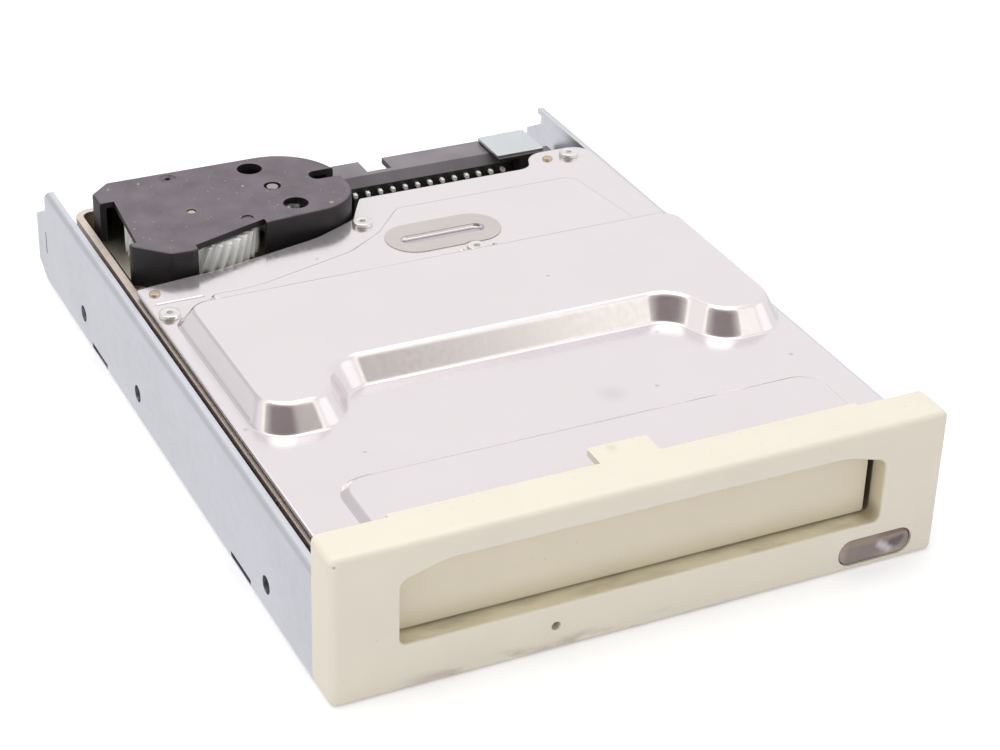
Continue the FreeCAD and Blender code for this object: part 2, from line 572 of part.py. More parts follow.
def deck_outline(wall):
    """The deck's plan, moved in from its outside by a wall thickness given as an expression."""
    corners = [
        ("-deck_half", "deck_front", 0), ("deck_half", "deck_front", 0),
        ("deck_half", "rear_ear_end", "deck_corner"), ("rear_ear_left", "rear_ear_end", 2),
        ("ear_root_x", "chamber_end", 2), ("chamber_corner_x", "chamber_end", 1.4),
        ("chamber_ear_x", "chamber_ear_y", 2.5), ("chamber_bend_x", "chamber_bend_y", 12),
        ("tub_right", "chamber_left_y", 0.5), ("tub_right", "tub_end", 1.4),
        ("-deck_half", "tub_end", "deck_corner"),
    ]
    return shrunk(corners, wall) if wall else corners


def base_deck():
    """Cast deck: open-fronted bay with walls, a tub for the load gears, posts and ribs."""
    body = new_body("base_deck")
    pad(body, outline(level(body, "deck_low"), deck_outline(None)), "deck_top - deck_low")
    inside = deck_outline("deck_wall")
    inside[0] = ("deck_wall - deck_half", "deck_front - 1", 0)
    inside[1] = ("deck_half - deck_wall", "deck_front - 1", 0)
    pocket(body, outline(level(body, "deck_top"), inside), "deck_top - deck_floor")
    lowered = rect(level(body, "deck_top"), "tub_right - 2 * deck_wall", "tub_right + deck_wall",
                   "chamber_left_y + 1.2", "tub_end - 0.8 * deck_wall")
    pocket(body, lowered, "deck_top - tub_wall_top")
    pocket(body, circle(level(body, "deck_floor"), 0, "spindle_y", "spindle_hole"), "deck_floor - deck_low")
    for right, top in (("rib_ledge_right", "rack_low - rib_gap"), ("slide_left - rib_gap", "rib_top")):
        rib = rect(level(body, "deck_floor"), "rib_left", right, "rib_front", "tub_end - deck_wall")
        pad(body, rib, f"{top} - deck_floor")
    posts = (("gear_x", "gear_y", "axle_post", "rack_low - 0.2"),
             ("post_left_x", "post_rear_y", "post_radius", "plate_low"),
             ("post_right_x", "post_rear_y", "post_radius", "plate_low"),
             ("post_left_x", "post_front_y", "post_radius", "plate_low"),
             ("screw_left_x", "screw_left_y", "boss_post_radius", "deck_top"),
             ("screw_mid_x", "screw_mid_y", "boss_post_radius", "deck_top"),
             ("screw_right_x", "screw_right_y", "boss_post_radius", "deck_top"),
             ("dowel_left_x", "dowel_left_y", "dowel_post", "deck_top"),
             ("dowel_right_x", "dowel_right_y", "dowel_post", "deck_top"),
             ("pivot_x", "pivot_y", "pivot_seat_radius", "pivot_seat"))
    for x, y, radius, top in posts:
        pad(body, circle(level(body, "deck_floor - 0.4"), x, y, radius), f"{top} - deck_floor + 0.4")
    feet = (("board_boss_x", "board_boss_front"), ("-board_boss_x", "board_boss_front"),
            ("board_boss_x", "board_boss_rear"), ("-board_boss_x", "board_boss_rear"))
    for x, y in feet:
        pad(body, circle(level(body, "board_high"), x, y, "board_boss_radius"), "deck_low - board_high + 0.2")
    for x in ("front_board_left + 1.8", "front_board_right - 1.8"):
        foot = circle(level(body, "front_board_high"), x, "front_board_far - 1.8", 1.5)
        pad(body, foot, "deck_low - front_board_high + 0.2")
    screws = level(body, "deck_top")
    for spot in ("left", "mid", "right"):
        circle(screws, f"screw_{spot}_x", f"screw_{spot}_y", "screw_shank")
    pocket(body, screws, "deck_top - screw_foot")
    dowels = level(body, "deck_top")
    for spot in ("left", "right"):
        circle(dowels, f"dowel_{spot}_x", f"dowel_{spot}_y", "dowel_radius")
    pocket(body, dowels, "deck_top - screw_foot")
    studs = level(body, "deck_floor")
    for side in ("shock_x", "-shock_x"):
        for y in ("shock_front", "shock_rear"):
            circle(studs, side, y, "stud_radius")
    pocket(body, studs, "deck_floor - deck_low")


def shock_mounts():
    """Rubber rings on studs between the tray's floor and the deck."""
    rings = []
    studs = []
    for side in ("shock_x", "-shock_x"):
        for y in ("shock_front", "shock_rear"):
            ring = rod(side, y, "shock_radius", "tray_sheet", "deck_low")
            rings.append(cut(ring, rod(side, y, "stud_radius", "tray_sheet", "deck_low")))
            studs.append(rod(side, y, "stud_radius", "tray_sheet", "deck_floor"))
    piece("shock_mounts", *rings)
    piece("shock_studs", *studs)


COVER_OUTLINE = [
    ("-cover_half", "cover_front", 0), ("cover_half", "cover_front", 0),
    ("cover_half", "cover_rear_end", 4), ("cover_rear_left", "cover_rear_end", 4),
    ("cover_root_x", "cover_end", 3), ("cover_corner_x", "cover_end", 0.8),
    ("cover_ear_x", "cover_ear_y", 2.5), ("cover_bend_x", "cover_bend_y", 16),
    ("cover_mid_x", "cover_mid_y", 20), ("-cover_half", "cover_left_end", 1),
]


TERRACE_OUTLINE = [
    ("terrace_left", "terrace_front", 0.4), ("terrace_right", "terrace_front", 0.4),
    ("terrace_end_x", "terrace_end_y", 2.5), ("terrace_rear_x", "terrace_rear_y", 2),
    ("terrace_knee_x", "terrace_knee_y", 5), ("terrace_bend_x", "terrace_bend_y", 8),
    ("terrace_turn_x", "terrace_strip", 15), ("terrace_left", "terrace_strip", 0.4),
]


def pressed_outline(half):
    """A pressing's plan from its right half, set where it sits on the sheet."""
    return [(f"{x} + press_shift", y, radius) for x, y, radius in mirrored(half)]


def boss_outline(share, inset):
    """The boss's plan at a share of its drafted wall, moved in by an inset.

    Two round lobes reach forward on each side of a straight bay.
    """
    side = f"{share} * boss_side_draft + {inset}"
    step = f"{share} * boss_draft + {inset}"
    tighter = f"({share} * round_draft + {inset})"
    bay = (f"bay_corner + {side}", f"boss_bay + {step}", f"bay_radius + {tighter}")
    inner = (f"lobe_inner + {side}", f"boss_lobe + {step}", f"lobe_radius - {tighter}")
    outer = (f"boss_half - ({side})", f"boss_lobe + {step}", f"lobe_radius - {tighter}")
    rear = (f"boss_half - ({side})", f"boss_rear - {share} * boss_rear_draft - {inset}",
            f"boss_rear_radius - {inset}")
    return pressed_outline([bay, inner, outer, rear])


def pad_outline(share, inset):
    """The front pad's plan: square at the bezel, round behind."""
    step = f"({share} * pad_draft + {inset})"
    near = (f"pad_half - {step}", f"pad_near + {inset}", 0.3)
    far = (f"pad_half - {step}", f"pad_end - {step}", f"pad_corner - {step}")
    return pressed_outline([near, far])


def top_cover():
    """Stamped cover: flat sheet with a two-lobed boss, a front pad and a low rear terrace."""
    body = new_body("top_cover")
    pad(body, outline(level(body, "cover_low"), COVER_OUTLINE), "cover_top - cover_low")
    pad(body, outline(level(body, "cover_low"), TERRACE_OUTLINE), "terrace_top - cover_low")
    pad(body, circle(level(body, "cover_low"), "pivot_x", "pivot_y", "cap_seat"), "terrace_top - cover_low")
    # plan, level top, share of the draft at the sheet's underside, (share, drop) up to the rounded top edge
    pressings = ((boss_outline, "boss_top", -0.2, ((0.8, 0.7), (1, 0.18), (1.35, 0))),
                 (pad_outline, "pad_top", -0.9, ((0.8, 0.2), (1.1, 0.05), (1.5, 0))))
    for plan, top, low_share, steps in pressings:
        foot = outline(level(body, "cover_low"), plan(low_share, 0))
        rims = [outline(level(body, f"{top} - {drop}"), plan(share, 0)) for share, drop in steps]
        loft(body, "AdditiveLoft", [foot] + rims)
    for plan, top, low_share, steps in pressings:
        foot = outline(level(body, "cover_low"), plan(low_share, "cover_sheet"))
        roof = outline(level(body, f"{top} - cover_sheet - 0.05"), plan(1, "cover_sheet"))
        loft(body, "SubtractiveLoft", [foot, roof])
    holes = level(body, "terrace_top")
    for spot in ("left", "mid", "right"):
        circle(holes, f"screw_{spot}_x", f"screw_{spot}_y", "screw_shank")
    for spot in ("left", "right"):
        circle(holes, f"dowel_{spot}_x", f"dowel_{spot}_y", "dowel_radius")
    circle(holes, "pivot_x", "pivot_y", "cap_shank")
    pocket(body, holes, "2 * cover_sheet")


def cover_fasteners():
    """Socket screws, the small centre cap screw, the brass dowels and the seal over the service slot."""
    screws = []
    for spot in ("left", "mid", "right"):
        x, y = f"screw_{spot}_x", f"screw_{spot}_y"
        shank = rod(x, y, "screw_shank", "screw_foot", "cover_top")
        head = rod(x, y, "screw_head_radius", "cover_top", "screw_head_top")
        socket = rod(x, y, "screw_socket", "screw_head_top - socket_depth", "screw_head_top")
        screws.append(cut(fuse(shank, head), socket))
    piece("cover_screws", *screws)
    dowels = []
    for spot in ("left", "right"):
        dowels.append(rod(f"dowel_{spot}_x", f"dowel_{spot}_y", "dowel_radius", "screw_foot", "dowel_top"))
    piece("locating_pins", *dowels)
    shank = rod("pivot_x", "pivot_y", "cap_shank", "pivot_top - 3", "terrace_top")
    head = rod("pivot_x", "pivot_y", "cap_radius", "terrace_top", "cap_top")
    socket = rod("pivot_x", "pivot_y", "screw_socket", "cap_top - 0.4", "cap_top")
    piece("pivot_cap_screw", cut(fuse(shank, head), socket))
    body = new_body("cover_seal")
    ring = rect(level(body, "terrace_top"), "seal_x - seal_half", "seal_x + seal_half",
                "seal_y - seal_tall", "seal_y + seal_tall", "0.98 * seal_tall")
    pad(body, ring, "seal_high - terrace_top")
    window = rect(level(body, "seal_high"), "window_x - window_half", "window_x + window_half",
                  "window_y - window_tall", "window_y + window_tall", "0.98 * window_tall")
    pocket(body, window, "seal_high - terrace_top")
    bite = circle(level(body, "seal_high"), "pivot_x", "pivot_y", "seal_bite")
    pocket(body, bite, "seal_high - terrace_top")


def cover_gasket():
    """Foam strips on the deck's walls, along both sides and the rear, under the cover's edge."""
    inner = "gasket_edge - gasket_width"
    left = block("-gasket_edge", f"-({inner})", "rail_front", "gasket_left_end", "gasket_low", "cover_low")
    right = block(inner, "gasket_edge", "rail_front", "gasket_right_end", "gasket_low", "cover_low")
    rear = block("chamber_corner_x + 2", "ear_root_x - 1.5", "chamber_end - gasket_width - 0.3",
                 "chamber_end - 0.6", "gasket_low", "cover_low")
    piece("cover_gasket", left, right, rear)


def cartridge_rails():
    """Two moulded rails that guide the cartridge between the bezel and the spindle."""
    for label, side in (("guide_rail_right", 1), ("guide_rail_left", -1)):
        body = new_body(label)
        section = [
            ("rail_ledge", "deck_floor"), ("rail_outer", "deck_floor"), ("rail_outer", "rail_foot"),
            ("rail_inner + rail_wall", "rail_foot"), ("rail_inner + rail_wall", "rail_top"),
            ("rail_inner", "rail_top"), ("rail_inner", "rail_ledge_top"), ("rail_ledge", "rail_ledge_top"),
        ]
        placed = [(f"{side} * ({x})", z) for x, z in section]
        pad(body, outline(upright(body, "rail_rear"), placed), "rail_rear - rail_front")


def spindle():
    """Flat motor under the deck, its turning hub and the magnet that grips the cartridge."""
    flange = rod(0, "spindle_y", "stator_radius", "stator_low", "deck_low")
    core = rod(0, "spindle_y", "stator_core", "stator_low", "stator_core_top")
    bore = rod(0, "spindle_y", "spindle_shaft + running_gap", "stator_low", "stator_core_top")
    piece("spindle_motor", cut(fuse(flange, core), bore))
    disc = rod(0, "spindle_y", "hub_radius", "hub_low", "hub_high")
    shaft = rod(0, "spindle_y", "spindle_shaft", "spindle_shaft_low", "hub_low")
    nose = rod(0, "spindle_y", "nose_radius", "hub_high", "clutch_top")
    piece("spindle_hub", fuse(disc, shaft, nose))
    ring = rod(0, "spindle_y", "clutch_outer", "hub_high", "clutch_top")
    piece("clutch_magnet", cut(ring, rod(0, "spindle_y", "clutch_inner", "hub_high", "clutch_top")))


def head_arm():
    """Head arm on its pivot with the coil behind it; drawn along -X about the pivot, then turned."""
    place = {"x": "pivot_x", "y": "pivot_y", "yaw": "arm_yaw"}
    post = rod("pivot_x", "pivot_y", "pivot_radius", "pivot_seat", "pivot_top")
    hole = rod("pivot_x", "pivot_y", "cap_shank", "pivot_top - 3", "pivot_top")
    piece("pivot_post", cut(post, hole))
    beam = doc.addObject("Part::Wedge", "beam")
    thick = "arm_high - arm_low"
    bind(beam, Ymin="0", Ymax="arm_reach", Xmin="-arm_root", Xmax="arm_root", Zmin="0", Zmax=thick,
         X2min="-arm_tip", X2max="arm_tip", Z2min="0", Z2max=thick)
    beam.Placement.Rotation = FreeCAD.Rotation(UP, 90)
    bind(beam, z="arm_low")
    hub = rod(0, 0, "arm_hub_radius", "arm_hub_low", "arm_hub_high")
    tip = block("-arm_reach - 1", "tip_length - arm_reach - 1", "-arm_tip", "arm_tip", "tip_low", "tip_high")
    fork = sector("pivot_radius", "coil_inner", "-coil_angle / 2", "coil_angle", "coil_low", "coil_high")
    bore = rod(0, 0, "pivot_radius + running_gap", "arm_hub_low", "arm_hub_high")
    piece("actuator_arm", cut(fuse(hub, beam, tip, fork), bore), **place)
    coil = sector("coil_inner", "coil_outer", "-coil_angle / 2", "coil_angle", "coil_low", "coil_high")
    eye = sector("coil_inner + coil_width", "coil_outer - coil_width", "-coil_angle / 4", "coil_angle / 2",
                 "coil_low", "coil_high")
    piece("voice_coil", cut(coil, eye), **place)
    springs = []
    faces = (("tip_low - spring_sheet", "tip_low", "tip_low", "tip_low + slider_tall"),
             ("tip_high", "tip_high + spring_sheet", "tip_high - slider_tall", "tip_high"))
    for low, high, slider_low, slider_high in faces:
        leaf = block("-spring_end", "tip_length - arm_reach - 1", "-spring_half", "spring_half", low, high)
        slider = block("-spring_end", "slider_length - spring_end", "-slider_half", "slider_half",
                       slider_low, slider_high)
        springs.append(fuse(leaf, slider))
    piece("head_suspensions", *springs, **place)


def magnet_stack():
    """Two steel yokes with magnets on the faces that the coil swings between, and two stops."""
    place = {"x": "pivot_x", "y": "pivot_y"}
    lower_top = "yoke_low + yoke_sheet"
    yokes = []
    magnets = []
    for low, magnet_low in (("yoke_low", lower_top), ("yoke_upper", "yoke_upper - magnet_thick")):
        yokes.append(sector("yoke_inner", "yoke_outer", "yoke_start", "yoke_angle", low,
                            f"{low} + yoke_sheet"))
        magnets.append(sector("magnet_inner", "magnet_outer", "magnet_start", "magnet_angle", magnet_low,
                              f"{magnet_low} + magnet_thick"))
    for bearing in ("yoke_start + yoke_post_turn", "yoke_start + yoke_angle - yoke_post_turn"):
        turn = math.radians(num(bearing))
        spot = (f"yoke_post_reach * {math.cos(turn):.6f}", f"yoke_post_reach * {math.sin(turn):.6f}")
        yokes.append(rod(*spot, "yoke_post", "deck_floor", "yoke_upper + yoke_sheet"))
    piece("magnet_yokes", fuse(*yokes), **place)
    piece("voice_magnets", *magnets, **place)
    stops = []
    for bearing in ("stop_first", "stop_last"):
        turn = math.radians(num(bearing))
        spot = (f"stop_reach * {math.cos(turn):.6f}", f"stop_reach * {math.sin(turn):.6f}")
        stops.append(rod(*spot, "stop_radius", lower_top, "yoke_upper"))
    piece("crash_stops", *stops, **place)
    foot = block("ramp_left", "ramp_right", "ramp_front", "ramp_back", "deck_floor", "ramp_top")
    gate = block("ramp_left + 1.2", "ramp_right", "ramp_front", "ramp_back", "tip_low", "tip_high")
    piece("head_ramp", cut(foot, gate))


def shaft_spot():
    """Where the motor shaft stands: one centre distance from the axle, along the drive's bearing."""
    reach = "gear_module * (gear_teeth + pinion_teeth) / 2"
    turn = math.radians(num("axle_angle"))
    return f"gear_x + {reach} * {math.cos(turn):.8f}", f"gear_y + {reach} * {math.sin(turn):.8f}"


SHAFT_X, SHAFT_Y = shaft_spot()


def load_gears():
    """Helical wheel with a rack pinion below it, and the motor's helical pinion in mesh."""
    face = num("gear_high - gear_low")
    lean = face * math.tan(math.radians(num("helix_angle")))
    module = num("gear_module")
    wheel_teeth = int(num("gear_teeth"))
    pinion_teeth = int(num("pinion_teeth"))
    bearing = math.radians(num("axle_angle"))
    wheel_twist = lean / (module * wheel_teeth / 2)
    wheel = toothed_wheel(wheel_teeth, bearing, wheel_twist, "gear_low", "gear_high")
    rack_wheel = toothed_wheel(int(num("rack_teeth")), 0, 0, "rack_low", "rack_high")
    hub = rod(0, 0, "gear_hub_radius", "rack_high - 0.2", "gear_low + 0.2")
    bore = rod(0, 0, "axle_radius + running_gap", "rack_low", "gear_high")
    piece("drive_gear", cut(fuse(wheel, rack_wheel, hub), bore), x="gear_x", y="gear_y")
    gap_turn = bearing + math.pi + math.pi / pinion_teeth
    pinion_twist = -lean / (module * pinion_teeth / 2)
    pinion = toothed_wheel(pinion_teeth, gap_turn, pinion_twist, "gear_low", "gear_high")
    shaft_hole = rod(0, 0, "shaft_radius", "gear_low", "gear_high")
    piece("motor_pinion", cut(pinion, shaft_hole), x=SHAFT_X, y=SHAFT_Y)
    shaft = rod(0, 0, "shaft_radius", "plate_low - 2", "box_top - 0.1")
    piece("motor_shaft", shaft, x=SHAFT_X, y=SHAFT_Y)
    piece("drive_axle", rod("gear_x", "gear_y", "axle_radius", "rack_low - 0.2", "box_top - 0.1"))
    can = rod(SHAFT_X, SHAFT_Y, "motor_radius", "motor_low", "plate_low")
    cap = rod(SHAFT_X, SHAFT_Y, "motor_cap_radius", "motor_low - motor_cap_drop", "motor_low")
    well = rod(SHAFT_X, SHAFT_Y, "shaft_radius + running_gap", "plate_low - 2.4", "plate_low")
    piece("load_motor", cut(fuse(can, cap), well))


def gearbox_cover():
    """Charcoal moulded gearbox with two tooth windows, open below."""
    body = new_body("gearbox_cover")
    pad(body, outline(level(body, "plate_high"), GEARBOX_OUTLINE), "box_top - plate_high")
    top = num("box_top")
    fillet(body, "box_edge", lambda edge: within(edge, z=(top, top)))
    inside = outline(level(body, "plate_high"), shrunk(GEARBOX_OUTLINE, "box_wall"))
    pocket(body, inside, "box_top - box_roof - plate_high", along=True)
    tall = "box_top - plate_high + 1"
    side = rect(level(body, "box_top + 1"), "box_left - 1", "side_window_x", "side_window_front",
                "side_window_rear")
    pocket(body, side, tall)
    rise = "(box_bend_y - box_nose_right_y) / (box_bend_x - box_nose_right)"
    window = []
    left, right = "front_window_left", "front_window_right"
    near, far = "-1.5", "front_window_depth"
    for x, shift in ((left, near), (right, near), (right, far), (left, far)):
        window.append((x, f"box_nose_right_y + ({x} - box_nose_right) * {rise} + {shift}"))
    pocket(body, outline(level(body, "box_top + 1"), window), tall)
    holes = level(body, "box_top + 1")
    circle(holes, f"{SHAFT_X} + sight_x", f"{SHAFT_Y} - sight_y", "sight_radius")
    circle(holes, f"{SHAFT_X} - sight_x", f"{SHAFT_Y} + sight_y", "sight_radius")
    circle(holes, SHAFT_X, SHAFT_Y, "shaft_radius + running_gap")
    circle(holes, "gear_x", "gear_y", "axle_radius")
    pocket(body, holes, "box_roof + 2")
    pad(body, circle(level(body, "plate_high"), "sunk_x", "sunk_y", "sunk_radius"),
        "box_top - plate_high - box_roof / 2")
    ear = rect(level(body, "plate_high"), "notch_x - ear_radius", "box_right - box_wall / 2",
               "notch_y - ear_radius", "notch_y + ear_radius", 0.5)
    pad(body, ear, "notch_floor - plate_high")
    pocket(body, circle(level(body, "box_top"), "sunk_x", "sunk_y", "thin_shank"), tall)
    across = (num("sunk_x - thin_shank"), num("sunk_x + thin_shank"))
    along = (num("sunk_y - thin_shank"), num("sunk_y + thin_shank"))
    fillet(body, "sunk_radius - thin_shank", lambda edge: within(edge, across, along, (top, top)), "Chamfer")
    pocket(body, circle(level(body, "notch_floor"), "notch_x", "notch_y", "thin_shank"), tall)
    pocket(body, circle(level(body, "box_top"), "gate_x", "gate_y", "gate_radius"), "gate_depth")
    notch = outline(level(body, "box_top"), [
        ("notch_x - notch_half", "notch_y - notch_half", 1.5), ("box_right + 1", "notch_y - notch_half"),
        ("box_right + 1", "notch_y + notch_half"), ("notch_x - notch_half", "notch_y + notch_half", 1.5)])
    pocket(body, notch, "box_top - notch_floor")


def gearbox_plate():
    """Sheet under the gearbox that carries the motor and closes the gears in."""
    body = new_body("gearbox_plate")
    flat = outline(level(body, "plate_low"), shrunk(GEARBOX_OUTLINE, "plate_inset"))
    pad(body, flat, "plate_high - plate_low")
    holes = level(body, "plate_high")
    circle(holes, "gear_x", "gear_y", "gear_hub_radius + hub_clearance")
    circle(holes, SHAFT_X, SHAFT_Y, "shaft_radius + hub_clearance")
    circle(holes, "sunk_x", "sunk_y", "thin_shank")
    circle(holes, "notch_x", "notch_y", "thin_shank")
    pocket(body, holes, "plate_high - plate_low")
    sunk_low = "box_top - sunk_depth"
    head = cone("sunk_x", "sunk_y", "thin_shank", "sunk_radius - 0.1", sunk_low, "box_top - 0.1")
    sunk = fuse(rod("sunk_x", "sunk_y", "thin_shank", "plate_low", sunk_low), head)
    sunk = cut(sunk, rod("sunk_x", "sunk_y", 0.5, "box_top - 0.5", "box_top - 0.1"))
    pan = rod("notch_x", "notch_y", "notch_head", "notch_floor", "notch_head_top")
    pan = fuse(rod("notch_x", "notch_y", "thin_shank", "plate_low", "notch_floor"), pan)
    pan = cut(pan, rod("notch_x", "notch_y", 0.6, "notch_head_top - 0.5", "notch_head_top"))
    piece("gearbox_screws", sunk, pan)
    holders = []
    for sign in (1, -1):
        x, y = f"{SHAFT_X} + {sign} * sight_x", f"{SHAFT_Y} - {sign} * sight_y"
        holders.append(rod(x, y, "sight_screw", "plate_high", "plate_high + sight_screw_tall"))
    piece("motor_screws", *holders)


def eject_slide():
    """Toothed bar that the rack pinion drives forward, with a foot that pushes the cartridge."""
    body = new_body("eject_slide")
    pitch_x = "gear_x - gear_module * rack_teeth / 2"
    root = f"{pitch_x} - 1.2 * gear_module"
    bar = [
        ("slide_left", "slide_front"), ("slide_foot_right", "slide_front", 0.6),
        ("slide_foot_right", "slide_foot_rear", 0.6), (root, "slide_foot_rear"), (root, "slide_rear"),
        ("slide_left", "slide_rear"),
    ]
    pad(body, outline(level(body, "rack_low"), bar), "rack_high - rack_low")
    pitch = num("gear_module") * math.pi
    lean = math.tan(math.radians(20))
    first = math.floor((num("slide_first") - num("gear_y")) / pitch) + 0.5
    middle = f"gear_y + {first} * {pitch:.8f}"
    half = f"{pitch / 4:.6f} - backlash / 2"
    tooth = outline(level(body, "rack_low"), [
        (f"{root} - 0.3", f"{middle} - ({half}) - {1.2 * lean:.6f} * gear_module"),
        (root, f"{middle} - ({half}) - {1.2 * lean:.6f} * gear_module"),
        (f"{pitch_x} + 0.8 * gear_module", f"{middle} - ({half}) + {0.8 * lean:.6f} * gear_module"),
        (f"{pitch_x} + 0.8 * gear_module", f"{middle} + ({half}) - {0.8 * lean:.6f} * gear_module"),
        (root, f"{middle} + ({half}) + {1.2 * lean:.6f} * gear_module"),
        (f"{root} - 0.3", f"{middle} + ({half}) + {1.2 * lean:.6f} * gear_module")])
    single = pad(body, tooth, "rack_high - rack_low")
    teeth = body.newObject("PartDesign::LinearPattern", "rack_teeth_pattern")
    teeth.Originals = [single]
    teeth.Direction = (tooth, ["V_Axis"])
    bind(teeth, Length=f"(slide_teeth - 1) * {pitch:.8f}", Occurrences="slide_teeth")
    body.Tip = teeth
    doc.recompute()


def circuit_board():
    """Main board below the deck with its chips and screws."""
    body = new_body("circuit_board")
    plan = [
        ("-board_half", "board_front", 1), ("board_half", "board_front", 1),
        ("board_half", "board_wide_y", 1), ("board_right", "board_wide_y", 1),
        ("board_right", "board_rear", 1), ("-board_half", "board_rear", 1),
    ]
    pad(body, outline(level(body, "board_low"), plan), "board_high - board_low")
    holes = level(body, "board_high")
    spots = [(side, y) for side in ("board_boss_x", "-board_boss_x")
             for y in ("board_boss_front", "board_boss_rear")]
    for x, y in spots:
        circle(holes, x, y, "board_screw")
    pocket(body, holes, "board_high - board_low")
    screws = []
    for x, y in spots:
        head = rod(x, y, "board_screw_head", "board_screw_low", "board_low")
        screws.append(fuse(head, rod(x, y, "board_screw", "board_low", "board_high")))
    piece("board_screws", *screws)
    chips = []
    for x, y, half in ((-16, 78, 9), (12, 80, 8), (-20, 116, 6), (14, 112, 10)):
        sides = (f"{x} - {half}", f"{x} + {half}", f"{y} - {half}", f"{y} + {half}")
        chips.append(block(*sides, "chip_low", "board_low"))
    piece("board_chips", *chips)


def interface_header():
    """Right-angle 40-way shrouded header with a key slot, and its bent contacts."""
    body = new_body("interface_header")
    profile = [
        ("header_front", "board_high"), ("header_rear", "board_high"), ("header_rear", "header_top"),
        ("header_step", "header_top"), ("header_front", "header_front_top"),
    ]
    pad(body, outline(sideways(body, "header_x - header_half"), profile), "2 * header_half")
    socket = rect(upright(body, "socket_bottom"), "header_x - socket_half", "header_x + socket_half",
                  "socket_low", "socket_high")
    pocket(body, socket, "header_rear - socket_bottom")
    key = rect(level(body, "header_top"), "header_x - key_half", "header_x + key_half", "key_front",
               "header_rear")
    pocket(body, key, "header_top - socket_high")
    contacts = []
    start = "header_x - contact_pitch * (contact_columns - 1) / 2"
    thick = "2 * contact_half"
    for row in (0, 1):
        height = f"contact_lower + {row} * contact_pitch"
        leg = f"leg_front + {1 - row} * contact_pitch"
        for column in range(int(num("contact_columns"))):
            middle = f"{start} + {column} * contact_pitch"
            sides = (f"{middle} - contact_half", f"{middle} + contact_half")
            blade = block(*sides, leg, "contact_end", f"{height} - contact_half", f"{height} + contact_half")
            tail = block(*sides, leg, f"{leg} + {thick}", "board_high", f"{height} - contact_half")
            contacts.append(fuse(blade, tail))
    piece("header_contacts", *contacts)


def power_connector():
    """Four-way power inlet with a ledge that the sheet clip sits on, and its blades."""
    body = new_body("power_connector")
    shell = rect(level(body, "board_high"), "power_left", "power_right", "power_front", "header_rear")
    pad(body, shell, "power_top - board_high")
    shelf = rect(level(body, "shelf_low"), "shelf_left", "power_left + 0.5", "power_front", "shelf_rear")
    pad(body, shelf, "power_top - shelf_low")
    socket = rect(upright(body, "power_socket_bottom"), "power_socket_left", "power_socket_right",
                  "power_socket_low", "power_socket_high", 0.6)
    pocket(body, socket, "header_rear - power_socket_bottom")
    blades = []
    middle = "(power_socket_left + power_socket_right) / 2"
    for number in range(int(num("power_pin_count"))):
        x = f"{middle} + ({number} - (power_pin_count - 1) / 2) * power_pin_pitch"
        sides = (f"{x} - power_pin_half", f"{x} + power_pin_half")
        blades.append(block(*sides, "power_socket_bottom", "power_pin_end", "power_pin_z - power_pin_half",
                            "power_pin_z + power_pin_half"))
    piece("power_contacts", *blades)
    clip = block("clip_left", "clip_right", "clip_front", "clip_rear", "power_top", "clip_high")
    piece("connector_clip", clip)


def build():
    chassis_tray()
    bezel()
    flap()
    eject_button()
    front_electronics()
    base_deck()
    shock_mounts()
    top_cover()
    cover_fasteners()
    cover_gasket()
    cartridge_rails()
    spindle()
    head_arm()
    magnet_stack()
    load_gears()
    gearbox_cover()
    gearbox_plate()
    eject_slide()
    circuit_board()
    interface_header()
    power_connector()


build()
doc.recompute()


def check(thing):
    if "Invalid" in thing.State or "Error" in thing.State:
        raise RuntimeError(f"{thing.Label} failed: {thing.State}")


for thing in doc.Objects:
    check(thing)
os.makedirs("parts", exist_ok=True)
for node in pieces:
    if node.Shape.isNull() or not node.Shape.isValid():
        raise RuntimeError(f"{node.Label} has no valid shape")
for node in pieces:
    node.Shape.exportStep(f"parts/{node.Label}.step")
    print(f"{node.Label}: {len(node.Shape.Solids)} solids, {node.Shape.Volume:.1f} mm3")
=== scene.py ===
import json
import math

import bmesh
import bpy
from mathutils import Matrix, Vector, geometry

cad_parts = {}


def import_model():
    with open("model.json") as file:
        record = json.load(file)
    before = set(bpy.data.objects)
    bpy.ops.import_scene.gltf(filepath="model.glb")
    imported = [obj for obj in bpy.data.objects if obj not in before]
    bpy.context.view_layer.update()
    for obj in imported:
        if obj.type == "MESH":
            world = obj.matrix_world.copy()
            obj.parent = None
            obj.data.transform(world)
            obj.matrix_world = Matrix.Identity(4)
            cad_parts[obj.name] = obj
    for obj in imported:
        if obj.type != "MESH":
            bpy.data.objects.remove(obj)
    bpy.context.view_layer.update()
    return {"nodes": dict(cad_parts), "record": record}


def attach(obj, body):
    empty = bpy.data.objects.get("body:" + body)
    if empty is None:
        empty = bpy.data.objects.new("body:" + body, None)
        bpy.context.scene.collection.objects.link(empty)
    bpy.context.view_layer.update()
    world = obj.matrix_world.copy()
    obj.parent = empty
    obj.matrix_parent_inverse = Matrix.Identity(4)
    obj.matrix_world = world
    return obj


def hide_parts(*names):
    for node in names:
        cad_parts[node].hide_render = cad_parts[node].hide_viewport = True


# Looks of a removable-cartridge disk drive: dressed CAD pieces, a pressed cover and studio light.
# Lengths in the tables are millimetres, with Y measured from the bezel's front face.

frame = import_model()
MM = 0.001
# from the bezel's front face back to the origin of the row frame
HALF_DEPTH = 71.5


def row(x, y, z):
    """A point of the tables as a point of the row frame, in metres."""
    return Vector((x * MM, (y - HALF_DEPTH) * MM, z * MM))


# Materials

# upward share of a face's normal where it stops being a wall, and from where it is a top
WALL_LIFT, TOP_LIFT = 0.55, 0.95
# sockets of a Mix node that carry its two colours and the result
MIX_UNDER, MIX_OVER, MIX_RESULT = 6, 7, 2
# stretch in which most values of a noise lie
NOISE_LOW, NOISE_HIGH = 0.25, 0.75


